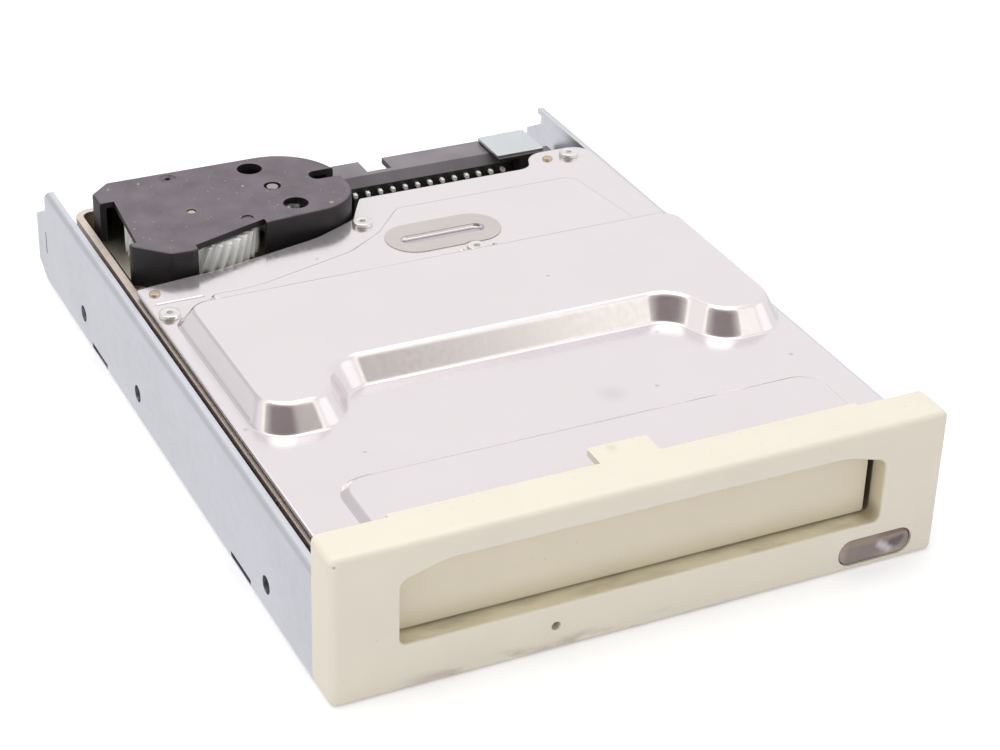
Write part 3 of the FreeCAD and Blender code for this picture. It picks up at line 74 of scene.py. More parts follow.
class Surface:
    """A Principled material that is built up from procedural layers in object space."""

    def __init__(self, name, colour, roughness, **sockets):
        self.material = bpy.data.materials.new(name)
        self.material.use_nodes = True
        self.nodes = self.material.node_tree.nodes
        self.links = self.material.node_tree.links
        self.shader = self.nodes["Principled BSDF"]
        self.coords = self.nodes.new("ShaderNodeTexCoord").outputs["Object"]
        self.base = None
        self.height = None
        self.shader.inputs["Base Color"].default_value = (*colour, 1)
        self.shader.inputs["Roughness"].default_value = roughness
        self.colour = colour
        self.roughness = roughness
        for socket, value in sockets.items():
            self.shader.inputs[socket.replace("_", " ")].default_value = value

    def stretched(self, scale):
        mapping = self.nodes.new("ShaderNodeMapping")
        mapping.inputs["Scale"].default_value = scale
        self.links.new(self.coords, mapping.inputs["Vector"])
        return mapping.outputs["Vector"]

    def noise(self, size, detail=3.0, stretch=(1, 1, 1)):
        """Noise whose grains are about size millimetres across, from 0 to 1."""
        node = self.nodes.new("ShaderNodeTexNoise")
        node.inputs["Scale"].default_value = 1000.0 / size
        node.inputs["Detail"].default_value = detail
        self.links.new(self.stretched(stretch), node.inputs["Vector"])
        return node.outputs["Fac"]

    def cells(self, size):
        """Distance from the nearest of seeds that lie about size millimetres apart."""
        node = self.nodes.new("ShaderNodeTexVoronoi")
        node.inputs["Scale"].default_value = 1000.0 / size
        self.links.new(self.coords, node.inputs["Vector"])
        return node.outputs["Distance"]

    def ramp(self, value, low, high, start=0.0, stop=1.0):
        node = self.nodes.new("ShaderNodeMapRange")
        node.inputs["From Min"].default_value = low
        node.inputs["From Max"].default_value = high
        node.inputs["To Min"].default_value = start
        node.inputs["To Max"].default_value = stop
        self.links.new(value, node.inputs["Value"])
        return node.outputs["Result"]

    def split(self, vector, letter):
        node = self.nodes.new("ShaderNodeSeparateXYZ")
        self.links.new(vector, node.inputs["Vector"])
        return node.outputs[letter]

    def between(self, letter, low, high, fade):
        """1 where a coordinate of the tables lies between two marks, fading out past them."""
        shift = HALF_DEPTH if letter == "Y" else 0
        value = self.split(self.coords, letter)
        rise = self.ramp(value, (low - fade - shift) * MM, (low - shift) * MM)
        fall = self.ramp(value, (high + fade - shift) * MM, (high - shift) * MM)
        return self.times(rise, fall)

    def facing_up(self):
        """1 on faces that look up, 0 on walls."""
        node = self.nodes.new("ShaderNodeNewGeometry")
        return self.ramp(self.split(node.outputs["Normal"], "Z"), WALL_LIFT, TOP_LIFT)

    def spot(self, place, inner, outer):
        """1 within inner millimetres of a point, fading to 0 at outer millimetres."""
        node = self.nodes.new("ShaderNodeVectorMath")
        node.operation = "DISTANCE"
        node.inputs[1].default_value = row(*place)
        self.links.new(self.coords, node.inputs[0])
        return self.ramp(node.outputs["Value"], outer * MM, inner * MM)

    def times(self, a, b):
        node = self.nodes.new("ShaderNodeMath")
        node.operation = "MULTIPLY"
        for socket, value in zip(node.inputs, (a, b)):
            if isinstance(value, (int, float)):
                socket.default_value = value
            else:
                self.links.new(value, socket)
        return node.outputs["Value"]

    def tint(self, colour, mask, share=1.0):
        """Lay a share of a colour over what is there so far, where the mask is 1."""
        node = self.nodes.new("ShaderNodeMix")
        node.data_type = "RGBA"
        self.links.new(mask if share == 1 else self.times(mask, share), node.inputs["Factor"])
        if self.base is None:
            node.inputs[MIX_UNDER].default_value = (*self.colour, 1)
        else:
            self.links.new(self.base, node.inputs[MIX_UNDER])
        node.inputs[MIX_OVER].default_value = (*colour, 1)
        self.base = node.outputs[MIX_RESULT]
        self.links.new(self.base, self.shader.inputs["Base Color"])
        return self

    def gloss(self, value, spread):
        """Let the roughness wander by a spread to both sides, following a noise."""
        smooth, rough = self.roughness - spread, self.roughness + spread
        wander = self.ramp(value, NOISE_LOW, NOISE_HIGH, smooth, rough)
        self.links.new(wander, self.shader.inputs["Roughness"])
        return self

    def bump(self, value, depth):
        """Add a relief that is about depth millimetres deep."""
        node = self.nodes.new("ShaderNodeBump")
        node.inputs["Distance"].default_value = depth * MM
        self.links.new(value, node.inputs["Height"])
        if self.height is not None:
            self.links.new(self.height, node.inputs["Normal"])
        self.height = node.outputs["Normal"]
        self.links.new(self.height, self.shader.inputs["Normal"])
        return self


def darker(colour, share):
    return tuple(channel * share for channel in colour)


def moulded(name, colour, roughness, shade, grain, depth):
    """Moulded plastic: clouds of a darker shade, spark texture of a grain and depth, and uneven gloss."""
    skin = Surface(name, colour, roughness)
    skin.tint(darker(colour, shade), skin.ramp(skin.noise(9, 4), 0.35, 0.7))
    skin.gloss(skin.noise(3), 0.06)
    skin.bump(skin.noise(grain, 2), depth)
    return skin


def sheet_metal(name, colour, roughness, grain=(1, 12, 1), shade=0.9, depth=0.002, metallic=1.0):
    """Rolled metal: fine lines along one axis, soft stains of a darker shade and uneven gloss."""
    skin = Surface(name, colour, roughness, Metallic=metallic)
    lines = skin.noise(0.9, 4, grain)
    skin.tint(darker(colour, shade), skin.ramp(skin.noise(14, 3), 0.4, 0.75))
    skin.gloss(lines, 0.05)
    skin.bump(lines, depth)
    return skin


def plain_metal(name, colour, roughness, metallic=1.0):
    """Turned or cast metal: blotched colour, uneven gloss and a fine grain."""
    skin = Surface(name, colour, roughness, Metallic=metallic)
    skin.tint(darker(colour, 0.86), skin.ramp(skin.noise(1.6, 3), 0.45, 0.8))
    skin.gloss(skin.noise(0.8), 0.06)
    skin.bump(skin.noise(0.25, 2), 0.003)
    return skin


# specks in the ivory mouldings
SPECKS = (0.45, 0.38, 0.28)
# lower front edge of the bezel that is darkened in smears: its ends and its height
SMEAR_LEFT, SMEAR_RIGHT, SMEAR_TOP = -30, 10, 1.0
# cartridge slot: its ends, its sill, and the depth of its reveal behind the front face
SLOT_LEFT, SLOT_RIGHT = -39.9, 40.4
SLOT_SILL, SILL_SKIN, SLOT_TOP = 7.7, 8.4, 22
REVEAL_FRONT, REVEAL_REAR = 0.6, 8
# gap between the flap's right end and the reveal, where the reveal is darkened with painted shade
GAP_LEFT, GAP_RIGHT, GAP_FRONT = 39.3, 41.5, 3.6
GAP_LOW, GAP_HIGH = 8.3, 19.4
SILL_CORNER = (39.6, 2.4, 7.9)
TOP_NICK = (-50.1, 0.25, 24.2)
TAB_STAIN = (-1.5, 11.4, 25.1)


def bezel_ivory():
    skin = moulded("bezel_ivory", (0.81, 0.747, 0.632), 0.42, shade=0.975, grain=0.3, depth=0.01)
    skin.tint(SPECKS, skin.ramp(skin.noise(0.7, 1), 0.74, 0.8), 0.3)
    smear = skin.ramp(skin.noise(2.4, 5, (0.35, 1, 1)), 0.44, 0.68)
    low_edge = skin.times(skin.between("Z", 0, SMEAR_TOP, 1.7), skin.between("X", SMEAR_LEFT, SMEAR_RIGHT, 12))
    skin.tint((0.36, 0.29, 0.24), skin.times(low_edge, smear), 0.85)
    # yellowed reveal of the slot, dirtier on its sill
    across = skin.between("X", SLOT_LEFT, SLOT_RIGHT, 0.3)
    reveal = skin.times(skin.between("Y", REVEAL_FRONT, REVEAL_REAR, 0.5), across)
    skin.tint((0.69, 0.62, 0.42), skin.times(reveal, skin.between("Z", SLOT_SILL, SLOT_TOP, 0.2)), 0.65)
    sill = skin.times(reveal, skin.between("Z", SLOT_SILL, SILL_SKIN, 0.2))
    skin.tint((0.40, 0.34, 0.24), skin.times(sill, smear), 0.45)
    # painted shade: the reveal beside the flap is darkened to stand for a deep dark gap
    beside = skin.between("X", GAP_LEFT, GAP_RIGHT, 0.1)
    gap_shade = skin.times(beside, skin.between("Y", GAP_FRONT, REVEAL_REAR, 0.3))
    skin.tint((0.11, 0.082, 0.062), skin.times(gap_shade, skin.between("Z", GAP_LOW, GAP_HIGH, 0.3)))
    # brown corner of the sill, nick at the top corner and a stain on the tab
    skin.tint((0.33, 0.25, 0.16), skin.times(skin.spot(SILL_CORNER, 0.8, 3.4), reveal), 0.7)
    skin.tint((0.25, 0.21, 0.16), skin.spot(TOP_NICK, 0.1, 0.35))
    skin.tint((0.62, 0.55, 0.40), skin.spot(TAB_STAIN, 0.3, 1.1), 0.5)
    return skin.material


# height of the flap's yellowed foot
FLAP_FOOT, FLAP_STAIN = 7.0, 9.0


def flap_ivory():
    skin = moulded("flap_ivory", (0.785, 0.71, 0.565), 0.4, shade=0.97, grain=0.3, depth=0.008)
    skin.tint(SPECKS, skin.ramp(skin.noise(0.7, 1), 0.74, 0.8), 0.25)
    skin.tint((0.60, 0.54, 0.36), skin.between("Z", FLAP_FOOT, FLAP_STAIN, 3.5), 0.4)
    return skin.material


# ochre spot on the gearbox roof
ROOF_SPOT = (-8.4, 103.4, 24.2)


def charcoal():
    skin = moulded("charcoal_moulding", (0.014, 0.0125, 0.0135), 0.5, shade=0.8, grain=0.22, depth=0.015)
    # film of dust on the roof, with fine grit and larger flecks
    top = skin.facing_up()
    film = skin.ramp(skin.noise(5, 4), 0.25, 0.8, 0.55, 1.0)
    skin.tint((0.170, 0.140, 0.162), skin.times(film, top))
    grit = skin.ramp(skin.cells(1.3), 0.13, 0.06)
    sparse = skin.ramp(skin.noise(2.6, 1), 0.42, 0.5)
    skin.tint((0.50, 0.45, 0.42), skin.times(skin.times(grit, sparse), top), 0.7)
    fleck = skin.ramp(skin.cells(4.4), 0.075, 0.04)
    skin.tint((0.58, 0.50, 0.36), skin.times(fleck, top), 0.8)
    skin.tint((0.62, 0.49, 0.20), skin.spot(ROOF_SPOT, 0.35, 0.62))
    return skin.material


# floor of the channel that the seal frames
CHANNEL_LEFT, CHANNEL_RIGHT = 0.2, 15.0
CHANNEL_FRONT, CHANNEL_REAR = 90.0, 92.2
# places and sizes of the small stains on the cover, and the place of a faint large one
COVER_STAINS = (
    ((-41.4, 72.0, 24.0), 0.25), ((-40.4, 69.1, 24.4), 0.22), ((-41.5, 67.3, 24.4), 0.2),
    ((-46.7, 43.8, 20.9), 0.3), ((-32.6, 30.9, 20.7), 0.2), ((-16.0, 91.3, 20.7), 0.18),
    ((17.3, 31.0, 20.7), 0.25), ((14.3, 63.8, 24.8), 0.2), ((42.2, 31.4, 20.7), 0.25),
    ((25.7, 46.3, 20.7), 0.3),
)
COVER_SMUDGE = (9.6, 31.6, 20.7)


def stainless():
    skin = sheet_metal("cover_stainless", (0.80, 0.75, 0.765), 0.16, grain=(1, 0.12, 1), shade=0.975,
                       depth=0.0004, metallic=0.8)
    skin.bump(skin.noise(34, 1), 0.03)
    along = skin.between("X", CHANNEL_LEFT, CHANNEL_RIGHT, 0.6)
    channel = skin.times(along, skin.between("Y", CHANNEL_FRONT, CHANNEL_REAR, 0.3))
    skin.tint((0.50, 0.445, 0.49), channel, 0.85)
    for place, size in COVER_STAINS:
        skin.tint((0.42, 0.36, 0.36), skin.spot(place, size * 0.5, size * 2.2), 0.5)
    skin.tint((0.66, 0.60, 0.62), skin.spot(COVER_SMUDGE, 0.6, 3.2), 0.5)
    return skin.material


def zinc():
    skin = sheet_metal("zinc_plate", (0.765, 0.77, 0.825), 0.36, grain=(1, 0.2, 1), shade=0.93)
    # spangles, and dull scratches along the wall
    skin.tint((0.81, 0.815, 0.865), skin.ramp(skin.cells(2.2), 0.15, 0.65), 0.35)
    skin.tint((0.46, 0.48, 0.52), skin.ramp(skin.noise(1.2, 5, (1, 0.05, 1)), 0.68, 0.76), 0.4)
    return skin.material


# height of the clip's edges, from its foot to just below its top
CLIP_FOOT, CLIP_BROW = 16.0, 17.55


def clip_zinc():
    skin = sheet_metal("clip_zinc", (0.735, 0.77, 0.79), 0.34, grain=(1, 0.2, 1), shade=0.95)
    skin.tint((0.55, 0.46, 0.36), skin.between("Z", CLIP_FOOT, CLIP_BROW, 0.1), 0.8)
    return skin.material


# areas of the lens that carry painted reflections: its left end, its right half, its upper slope, and the
# right half's low and high band
LENS_LEFT = (33.0, 33.9)
LENS_RIGHT = (42.0, 47.0)
LENS_SLOPE = (4.6, 6.0)
LENS_LOW, LENS_HIGH = (1.0, 1.9), (5.1, 6.0)
# places and radii of a painted glint and of a painted dark reflection on the lens
PAINTED_GLINT = (((40.8, 0.1, 3.7), 0.1), ((41.6, 0.1, 3.1), 0.2), ((42.5, 0.1, 2.4), 0.1))
PAINTED_DARK_REFLECTION = (((43.0, 0.1, 3.6), 0.3), ((43.9, 0.1, 3.5), 0.5), ((44.7, 0.1, 4.0), 0.2))


def smoked():
    skin = Surface("smoked_lens", (0.32, 0.25, 0.235), 0.12, Transmission_Weight=0.15, IOR=1.49)
    skin.tint((0.29, 0.23, 0.22), skin.ramp(skin.noise(3.5, 3), 0.4, 0.7))
    # painted reflections on the lens: a brown upper slope, a paler left end and lower right, a darker upper
    # right
    right = skin.between("X", *LENS_RIGHT, 2.5)
    skin.tint((0.38, 0.30, 0.23), skin.between("Z", *LENS_SLOPE, 0.6), 0.85)
    skin.tint((0.50, 0.41, 0.38), skin.between("X", *LENS_LEFT, 1.3), 0.8)
    skin.tint((0.47, 0.40, 0.35), skin.times(right, skin.between("Z", *LENS_LOW, 0.9)), 0.8)
    skin.tint((0.24, 0.165, 0.12), skin.times(right, skin.between("Z", *LENS_HIGH, 0.4)), 0.8)
    # painted highlight: pale glint spots, then painted reflection: dark spots at the lens's right end
    for place, radius in PAINTED_GLINT:
        skin.tint((0.86, 0.79, 0.82), skin.spot(place, radius, radius + 0.9), 0.7)
    for place, radius in PAINTED_DARK_REFLECTION:
        skin.tint((0.13, 0.10, 0.11), skin.spot(place, radius, radius + 0.6), 0.8)
    skin.bump(skin.noise(0.5, 2), 0.003)
    return skin.material


# height of the grease at the foot of the wheels' teeth
GREASE_LOW, GREASE_HIGH = 12, 18.2


def nylon():
    skin = moulded("white_nylon", (0.90, 0.905, 0.885), 0.36, shade=0.95, grain=0.4, depth=0.008)
    skin.tint((0.60, 0.49, 0.33), skin.ramp(skin.noise(2.0, 4), 0.62, 0.8), 0.4)
    skin.tint((0.42, 0.33, 0.21), skin.between("Z", GREASE_LOW, GREASE_HIGH, 0.6), 0.6)
    return skin.material


def header_black():
    skin = moulded("header_moulding", (0.022, 0.020, 0.022), 0.45, shade=0.8, grain=0.3, depth=0.012)
    dust = skin.ramp(skin.noise(6, 4), 0.25, 0.8, 0.6, 1.0)
    skin.tint((0.265, 0.238, 0.262), skin.times(dust, skin.facing_up()))
    return skin.material


# height up to which the contacts are darkened with painted shade, where they stand in the dark of the header
LEADS_SHADE_TOP = 13.4


def tinned_leads():
    skin = plain_metal("tinned_contact", (0.95, 0.94, 0.92), 0.34, metallic=0.1)
    # painted shade on the contacts below their lit tops
    skin.tint((0.05, 0.045, 0.04), skin.between("Z", 0, LEADS_SHADE_TOP, 0.25))
    return skin.material


def dusty_screw():
    skin = plain_metal("blacked_screw", (0.05, 0.045, 0.048), 0.45, metallic=0.4)
    skin.tint((0.165, 0.138, 0.160), skin.ramp(skin.noise(1.2, 3), 0.3, 0.6), 0.8)
    return skin.material


def laminate():
    skin = moulded("board_mask", (0.045, 0.16, 0.085), 0.3, shade=0.7, grain=0.5, depth=0.02)
    # tracks under the green mask
    skin.tint((0.07, 0.23, 0.12), skin.ramp(skin.noise(1.4, 0, (1, 0.15, 1)), 0.48, 0.52))
    return skin.material


finishes = {
    "bezel": bezel_ivory(),
    "flap_door": flap_ivory(),
    "gearbox_cover": charcoal(),
    "top_cover": stainless(),
    "chassis_tray": zinc(),
    "connector_clip": clip_zinc(),
    "eject_button": smoked(),
    "drive_gear": nylon(),
    "interface_header": header_black(),
    "circuit_board": laminate(),
    "base_deck": plain_metal("cast_deck", (0.84, 0.73, 0.65), 0.5).material,
    "cover_screws": plain_metal("bright_nickel", (0.88, 0.865, 0.84), 0.34).material,
    "drive_axle": plain_metal("axle_steel", (0.64, 0.57, 0.45), 0.35).material,
    "locating_pins": plain_metal("turned_brass", (0.66, 0.54, 0.43), 0.4).material,
    "cover_seal": moulded("seal_film", (0.54, 0.495, 0.47), 0.5, shade=0.95, grain=0.5, depth=0.006).material,
    "cover_gasket": moulded("black_foam", (0.03, 0.03, 0.03), 0.9, shade=0.7, grain=0.4, depth=0.08).material,
    "gearbox_plate": sheet_metal("plate_steel", (0.80, 0.75, 0.64), 0.4).material,
    "load_motor": sheet_metal("motor_can", (0.58, 0.58, 0.59), 0.32, grain=(1, 1, 8)).material,
    "voice_magnets": plain_metal("magnet_plating", (0.45, 0.45, 0.46), 0.3).material,
    "actuator_arm": plain_metal("machined_alloy", (0.76, 0.77, 0.78), 0.32).material,
    "voice_coil": sheet_metal("enamelled_wire", (0.55, 0.25, 0.12), 0.35, grain=(6, 6, 40)).material,
    "crash_stops": moulded("black_rubber", (0.025, 0.025, 0.025), 0.8, shade=0.7, grain=0.3,
                           depth=0.03).material,
    "guide_rail_left": moulded("black_moulding", (0.035, 0.033, 0.036), 0.42, shade=0.8, grain=0.3,
                               depth=0.015).material,
    "header_contacts": tinned_leads(),
    "power_contacts": plain_metal("tinned_pin", (0.84, 0.81, 0.74), 0.3).material,
    "gearbox_screws": dusty_screw(),
    "motor_screws": plain_metal("black_oxide", (0.02, 0.019, 0.02), 0.8, metallic=0.2).material,
    "motor_shaft": plain_metal("ground_shaft", (0.44, 0.42, 0.42), 0.4).material,
    "status_lamp": moulded("lamp_lens", (0.50, 0.62, 0.33), 0.2, shade=0.9, grain=0.6, depth=0.005).material,
}
same_as = {
    "cover_screws": ("pivot_cap_screw", "board_screws", "shock_studs", "flap_pin", "pivot_post"),
    "crash_stops": ("shock_mounts",),
    "drive_gear": ("motor_pinion", "head_ramp"),
    "load_motor": ("spindle_motor", "spindle_hub", "magnet_yokes"),
    "voice_magnets": ("clutch_magnet",),
    "actuator_arm": ("head_suspensions",),
    "interface_header": ("power_connector",),
    "guide_rail_left": ("guide_rail_right", "eject_switch", "board_chips", "eject_slide"),
    "circuit_board": ("front_board",),
}
for model, nodes in same_as.items():
    for node in nodes:
        finishes[node] = finishes[model]

body_of_node = {}
for body_name, members in frame["record"]["behaviour"]["bodies"].items():
    for member in members:
        body_of_node[member] = body_name


# Pieces

def new_piece(name, mesh, node):
    """Put a mesh into the scene in place of a CAD node, on that node's body and with its finish."""
    mesh.materials.clear()
    mesh.materials.append(finishes[node])
    piece = bpy.data.objects.new(name, mesh)
    bpy.context.scene.collection.objects.link(piece)
    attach(piece, body_of_node[node])
    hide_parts(node)
    return piece


# corners nearer than this are one, in metres
WELD = 2e-6
# faces that meet at less than the first angle are joined, and from the second on they have an edge
FLAT_ANGLE, EDGE_ANGLE = math.radians(1), math.radians(30)


def dressed(node, edge, reshape=None):
    """A CAD node with flat faces joined, edges broken by edge millimetres and curves shaded smooth."""
    mesh = bpy.data.meshes.new(f"{node}_finish")
    work = bmesh.new()
    work.from_mesh(frame["nodes"][node].data)
    bmesh.ops.remove_doubles(work, verts=work.verts, dist=WELD)
    bmesh.ops.dissolve_limit(work, angle_limit=FLAT_ANGLE, verts=work.verts, edges=work.edges)
    if reshape:
        reshape(work)
    work.to_mesh(mesh)
    work.free()
    mesh.polygons.foreach_set("use_smooth", [True] * len(mesh.polygons))
    piece = new_piece(f"{node}_finish", mesh, node)
    if edge:
        bevel = piece.modifiers.new("broken_edges", "BEVEL")
        bevel.width = edge * MM
        bevel.segments = 2
        bevel.limit_method = "ANGLE"
        bevel.angle_limit = EDGE_ANGLE
        bevel.harden_normals = True
    mesh.set_sharp_from_angle(angle=EDGE_ANGLE)


# axes and tooth counts of the meshed wheels, and the foot and height of their toothed faces
GEAR_AXIS, GEAR_TEETH = (-32.2, 109.3), 37
MOTOR_AXIS, PINION_TEETH = (-15.6152, 113.4658), 20
TOOTH_FOOT, TOOTH_FACE = 18.0, 5.0
# rear corner of the gearbox roof over the side window, how near a vertex lies to it, and the slant there
ROOF_CORNER, CORNER_REACH, ROOF_SLANT = (-44.7, 118.0), 0.05, 1.3
# left and right end of the step in the power inlet's top, and the height of its lower end
STEP_LEFT, STEP_RIGHT, INLET_LOW = 42.85, 42.95, 12.9
MOTOR_HEAD_TOP = 17.9


def slanted_side_window(work):
    """Slant the roof's edge over the gearbox's side window, deeper at its rear end."""
    corner = row(*ROOF_CORNER, 0)
    reach = CORNER_REACH * MM
    for vert in work.verts:
        if abs(vert.co.x - corner.x) < reach and abs(vert.co.y - corner.y) < reach:
            vert.co.x += ROOF_SLANT * MM


def lowered_right_end(work):
    """Step the power inlet's top down beside the clip."""
    for x in (STEP_LEFT, STEP_RIGHT):
        bmesh.ops.bisect_plane(work, geom=[*work.verts, *work.edges, *work.faces], dist=1e-7,
                               plane_co=row(x, 0, 0), plane_no=(1, 0, 0))
    middle = (STEP_LEFT + STEP_RIGHT) / 2
    for vert in work.verts:
        if vert.co.x > middle * MM and vert.co.z > INLET_LOW * MM:
            vert.co.z = INLET_LOW * MM


def sunk_heads(work):
    """Sink the motor's screw heads clear of the pinion's teeth."""
    for vert in work.verts:
        vert.co.z = min(vert.co.z, MOTOR_HEAD_TOP * MM)


def leaning_teeth(place, teeth, hand):
    """Lean a toothed wheel's upper end round its axis by one tooth over the face of the wheel."""
    axis = row(*place, 0)

    def lean(work):
        for vert in work.verts:
            share = max(0, (vert.co.z / MM - TOOTH_FOOT) / TOOTH_FACE)
            turn = Matrix.Rotation(hand * 2 * math.pi * share / teeth, 3, "Z")
            vert.co = axis + turn @ (vert.co - axis)
    return lean


def made(work, node, sharp=40):
    """Finish a built mesh: faces looking out, curves smooth, and shown for its node."""
    bmesh.ops.recalc_face_normals(work, faces=work.faces)
    mesh = bpy.data.meshes.new(f"{node}_shape")
    work.to_mesh(mesh)
    work.free()
    mesh.polygons.foreach_set("use_smooth", [True] * len(mesh.polygons))
    mesh.set_sharp_from_angle(angle=math.radians(sharp))
    return new_piece(f"{node}_shape", mesh, node)


def loop(work, points):
    return [work.verts.new(point) for point in points]


def raised(work, outline, z):
    """A closed ring of vertices over an outline, at one height."""
    return loop(work, [row(x, y, z) for x, y in outline])


def skirt(work, rings):
    """Quads between each closed ring and the next."""
    for a, b in zip(rings, rings[1:]):
        for i in range(len(a)):
            work.faces.new((a[i - 1], a[i], b[i], b[i - 1]))


def flat(work, *rings):
    """Fill the level area inside the first ring and outside the others."""
    chain = [vert for ring in rings for vert in ring]
    for triangle in geometry.tessellate_polygon([[vert.co for vert in ring] for ring in rings]):
        work.faces.new([chain[i] for i in triangle])


def closed(work, rings):
    """A skin over a row of rings, filled at both ends."""
    skirt(work, rings)
    flat(work, rings[0])
    flat(work, rings[-1])


def rounded(corners, steps=10):
    """Points of a closed outline whose corners are (x, y, radius), rounded by arcs."""
    spots = [Vector(corner[:2]) for corner in corners]
    points = []
    for i, corner in enumerate(corners):
        spot, radius = spots[i], corner[2]
        if not radius:
            points.append(spot)
            continue
        a = (spots[i - 1] - spot).normalized()
        b = (spots[(i + 1) % len(spots)] - spot).normalized()
        half = a.angle(b) / 2
        centre = spot + (a + b).normalized() * (radius / math.sin(half))
        start = spot + a * (radius / math.tan(half)) - centre
        stop = spot + b * (radius / math.tan(half)) - centre
        sweep = start.angle_signed(stop)
        for step in range(steps + 1):
            arm = start.copy()
            arm.rotate(Matrix.Rotation(-sweep * step / steps, 2))
            points.append(centre + arm)
    return points


def inset(outline, depth):
    """An outline that runs counterclockwise, with its points moved in by a depth."""
    moved = []
    for i, spot in enumerate(outline):
        before = (spot - outline[i - 1]).normalized()
        after = (outline[(i + 1) % len(outline)] - spot).normalized()
        inward = Vector((-before.y - after.y, before.x + after.x)).normalized()
        lean = inward.x * -before.y + inward.y * before.x
        moved.append(spot + inward * (depth / lean))
    return moved


def stadium(half, radius, steps=12):
    """Outline of a bar with round ends, about the origin."""
    flank = half - radius
    points = []
    for centre, start in ((flank, -90), (-flank, 90)):
        for step in range(steps + 1):
            angle = math.radians(start + 180 * step / steps)
            points.append(Vector((centre + radius * math.cos(angle), radius * math.sin(angle))))
    return points


def soft_min(a, b, blend):
    return min(a, b) - max(blend - abs(a - b), 0) ** 2 / (4 * blend)


def soft_max(a, b, blend):
    return -soft_min(-a, -b, blend)


def steps_between(low, high, count):
    return [low + (high - low) * step / count for step in range(count + 1)]


# Pressed cover

COVER_TOP = 20.7
COVER_SHEET = 0.9
COVER_EDGE = [
    (-48, 8.4, 0), (48, 8.4, 0), (48, 115.6, 4), (36, 115.6, 4), (34, 110.2, 3), (-0.3, 110.2, 0.8),
    (-4.6, 103, 2.5), (-13, 98.8, 16), (-33, 94.2, 20), (-48, 92.6, 1),
]
# width of the band along the edge that the rounded rim takes up
COVER_BORDER = 0.45
# depth inside the cover's edge, and drop there, from the top over the edge to the underside
COVER_RIM = (
    (0.25, 0), (0.13, 0.03), (0.04, 0.12), (0, 0.25), (0, 0.65), (0.04, 0.78), (0.13, 0.87), (0.25, 0.9),
)
# Pressings, given by the right half of their plan and set a little to the right of the sheet's middle. Each
# corner has its x, y and radius at the foot of the wall, and how far these go from foot to brow. Wall and top
# are heights, foot and brow say how far their roundings reach, and the rings lie at shares of the wall, given
# as stretches from share to share in a number of steps.
PRESS_SHIFT = 0.8
PRESS_STEPS = 14
BOSS = {
    "corners": (
        ((28.8, 48.9, 5.5), (1.7, 3.4, 1.5)), ((32.8, 39, 6.2), (1.7, 3.4, -1.5)),
        ((46.45, 39, 6.2), (-1.7, 3.4, -1.5)), ((46.45, 80.6, 3.4), (-1.7, -3.0, 0)),
    ),
    "wall": 4.3, "top": 4.1, "foot": 0.45, "brow": 0.85,
    "rings": ((-0.14, 0.14, 8), (0.25, 0.7, 4), (0.74, 1.2, 12)),
}
PAD = {
    "corners": (((41.4, 9, 0.3), (-0.9, 0.3, 0)), ((41.4, 24.8, 5), (-0.9, -0.9, -0.9))),
    "wall": 1, "top": 1, "foot": 0.3, "brow": 0.8,
    "rings": ((-0.4, 0.2, 6), (0.3, 1.9, 16)),
}
# low plateau behind the boss, with a round seat for the pivot's cap screw in its front edge
TERRACE = [
    (-37, 84, 0.9), (8.4, 84, 0.4), (8.4, 81.9, 1.6), (13.6, 81.9, 1.6), (13.6, 84, 0.4), (41.9, 84, 0.4),
    (39.4, 103.6, 2.5), (4.3, 103.8, 2), (-2.2, 96.4, 5), (-9.6, 91.5, 8), (-29, 85.9, 15),
    (-37, 85.9, 0.9),
]
# depth inside the terrace's edge, and height there: a groove round it, then its rounded edge
TERRACE_STEP = (
    (-0.75, 0), (-0.66, -0.01), (-0.5, -0.08), (-0.36, -0.1), (-0.2, -0.06), (0, 0.14), (0.14, 0.24),
    (0.3, 0.25),
)
TERRACE_RISE = 0.25
# channel that the seal frames: half width, and depth there
GROOVE_AT = (7.6, 91.2)
GROOVE_FLANK = 6.4
GROOVE = (
    (1.75, 0), (1.6, 0), (1.52, 0.04), (1.46, 0.14), (1.4, 0.3), (1.32, 0.4), (1.2, 0.44), (1.0, 0.45),
)
# scored line that runs on from the terrace to the cover's left edge: half width, and depth there
SCORE_AT = (-42.4, 86.3)
SCORE_FLANK = 3.9
SCORE = ((0.42, 0), (0.34, 0.01), (0.2, 0.08), (0.1, 0.1))
COVER_SHARP = 75


def pressing(work, form):
    """Rings of a pressing, from the sheet up its drafted wall to the rim of its level top."""
    rings = []
    for low, high, count in form["rings"]:
        for share in steps_between(low, high, count):
            half = [[at + go * share for at, go in zip(foot, way)] for foot, way in form["corners"]]
            whole = half + [(-x, y, radius) for x, y, radius in reversed(half)]
            plan = rounded([(x + PRESS_SHIFT, y, radius) for x, y, radius in whole], PRESS_STEPS)
            height = soft_max(form["wall"] * share, 0, form["foot"])
            rings.append(raised(work, plan, COVER_TOP + soft_min(height, form["top"], form["brow"])))
    return rings


def sunk_line(work, place, flank, profile, top):
    """Rings of a straight channel with round ends, from its edge down to its floor."""
    rings = []
    for width, drop in profile:
        plan = [Vector(place) + spot for spot in stadium(flank + width, width)]
        rings.append(raised(work, plan, top - drop))
    return rings


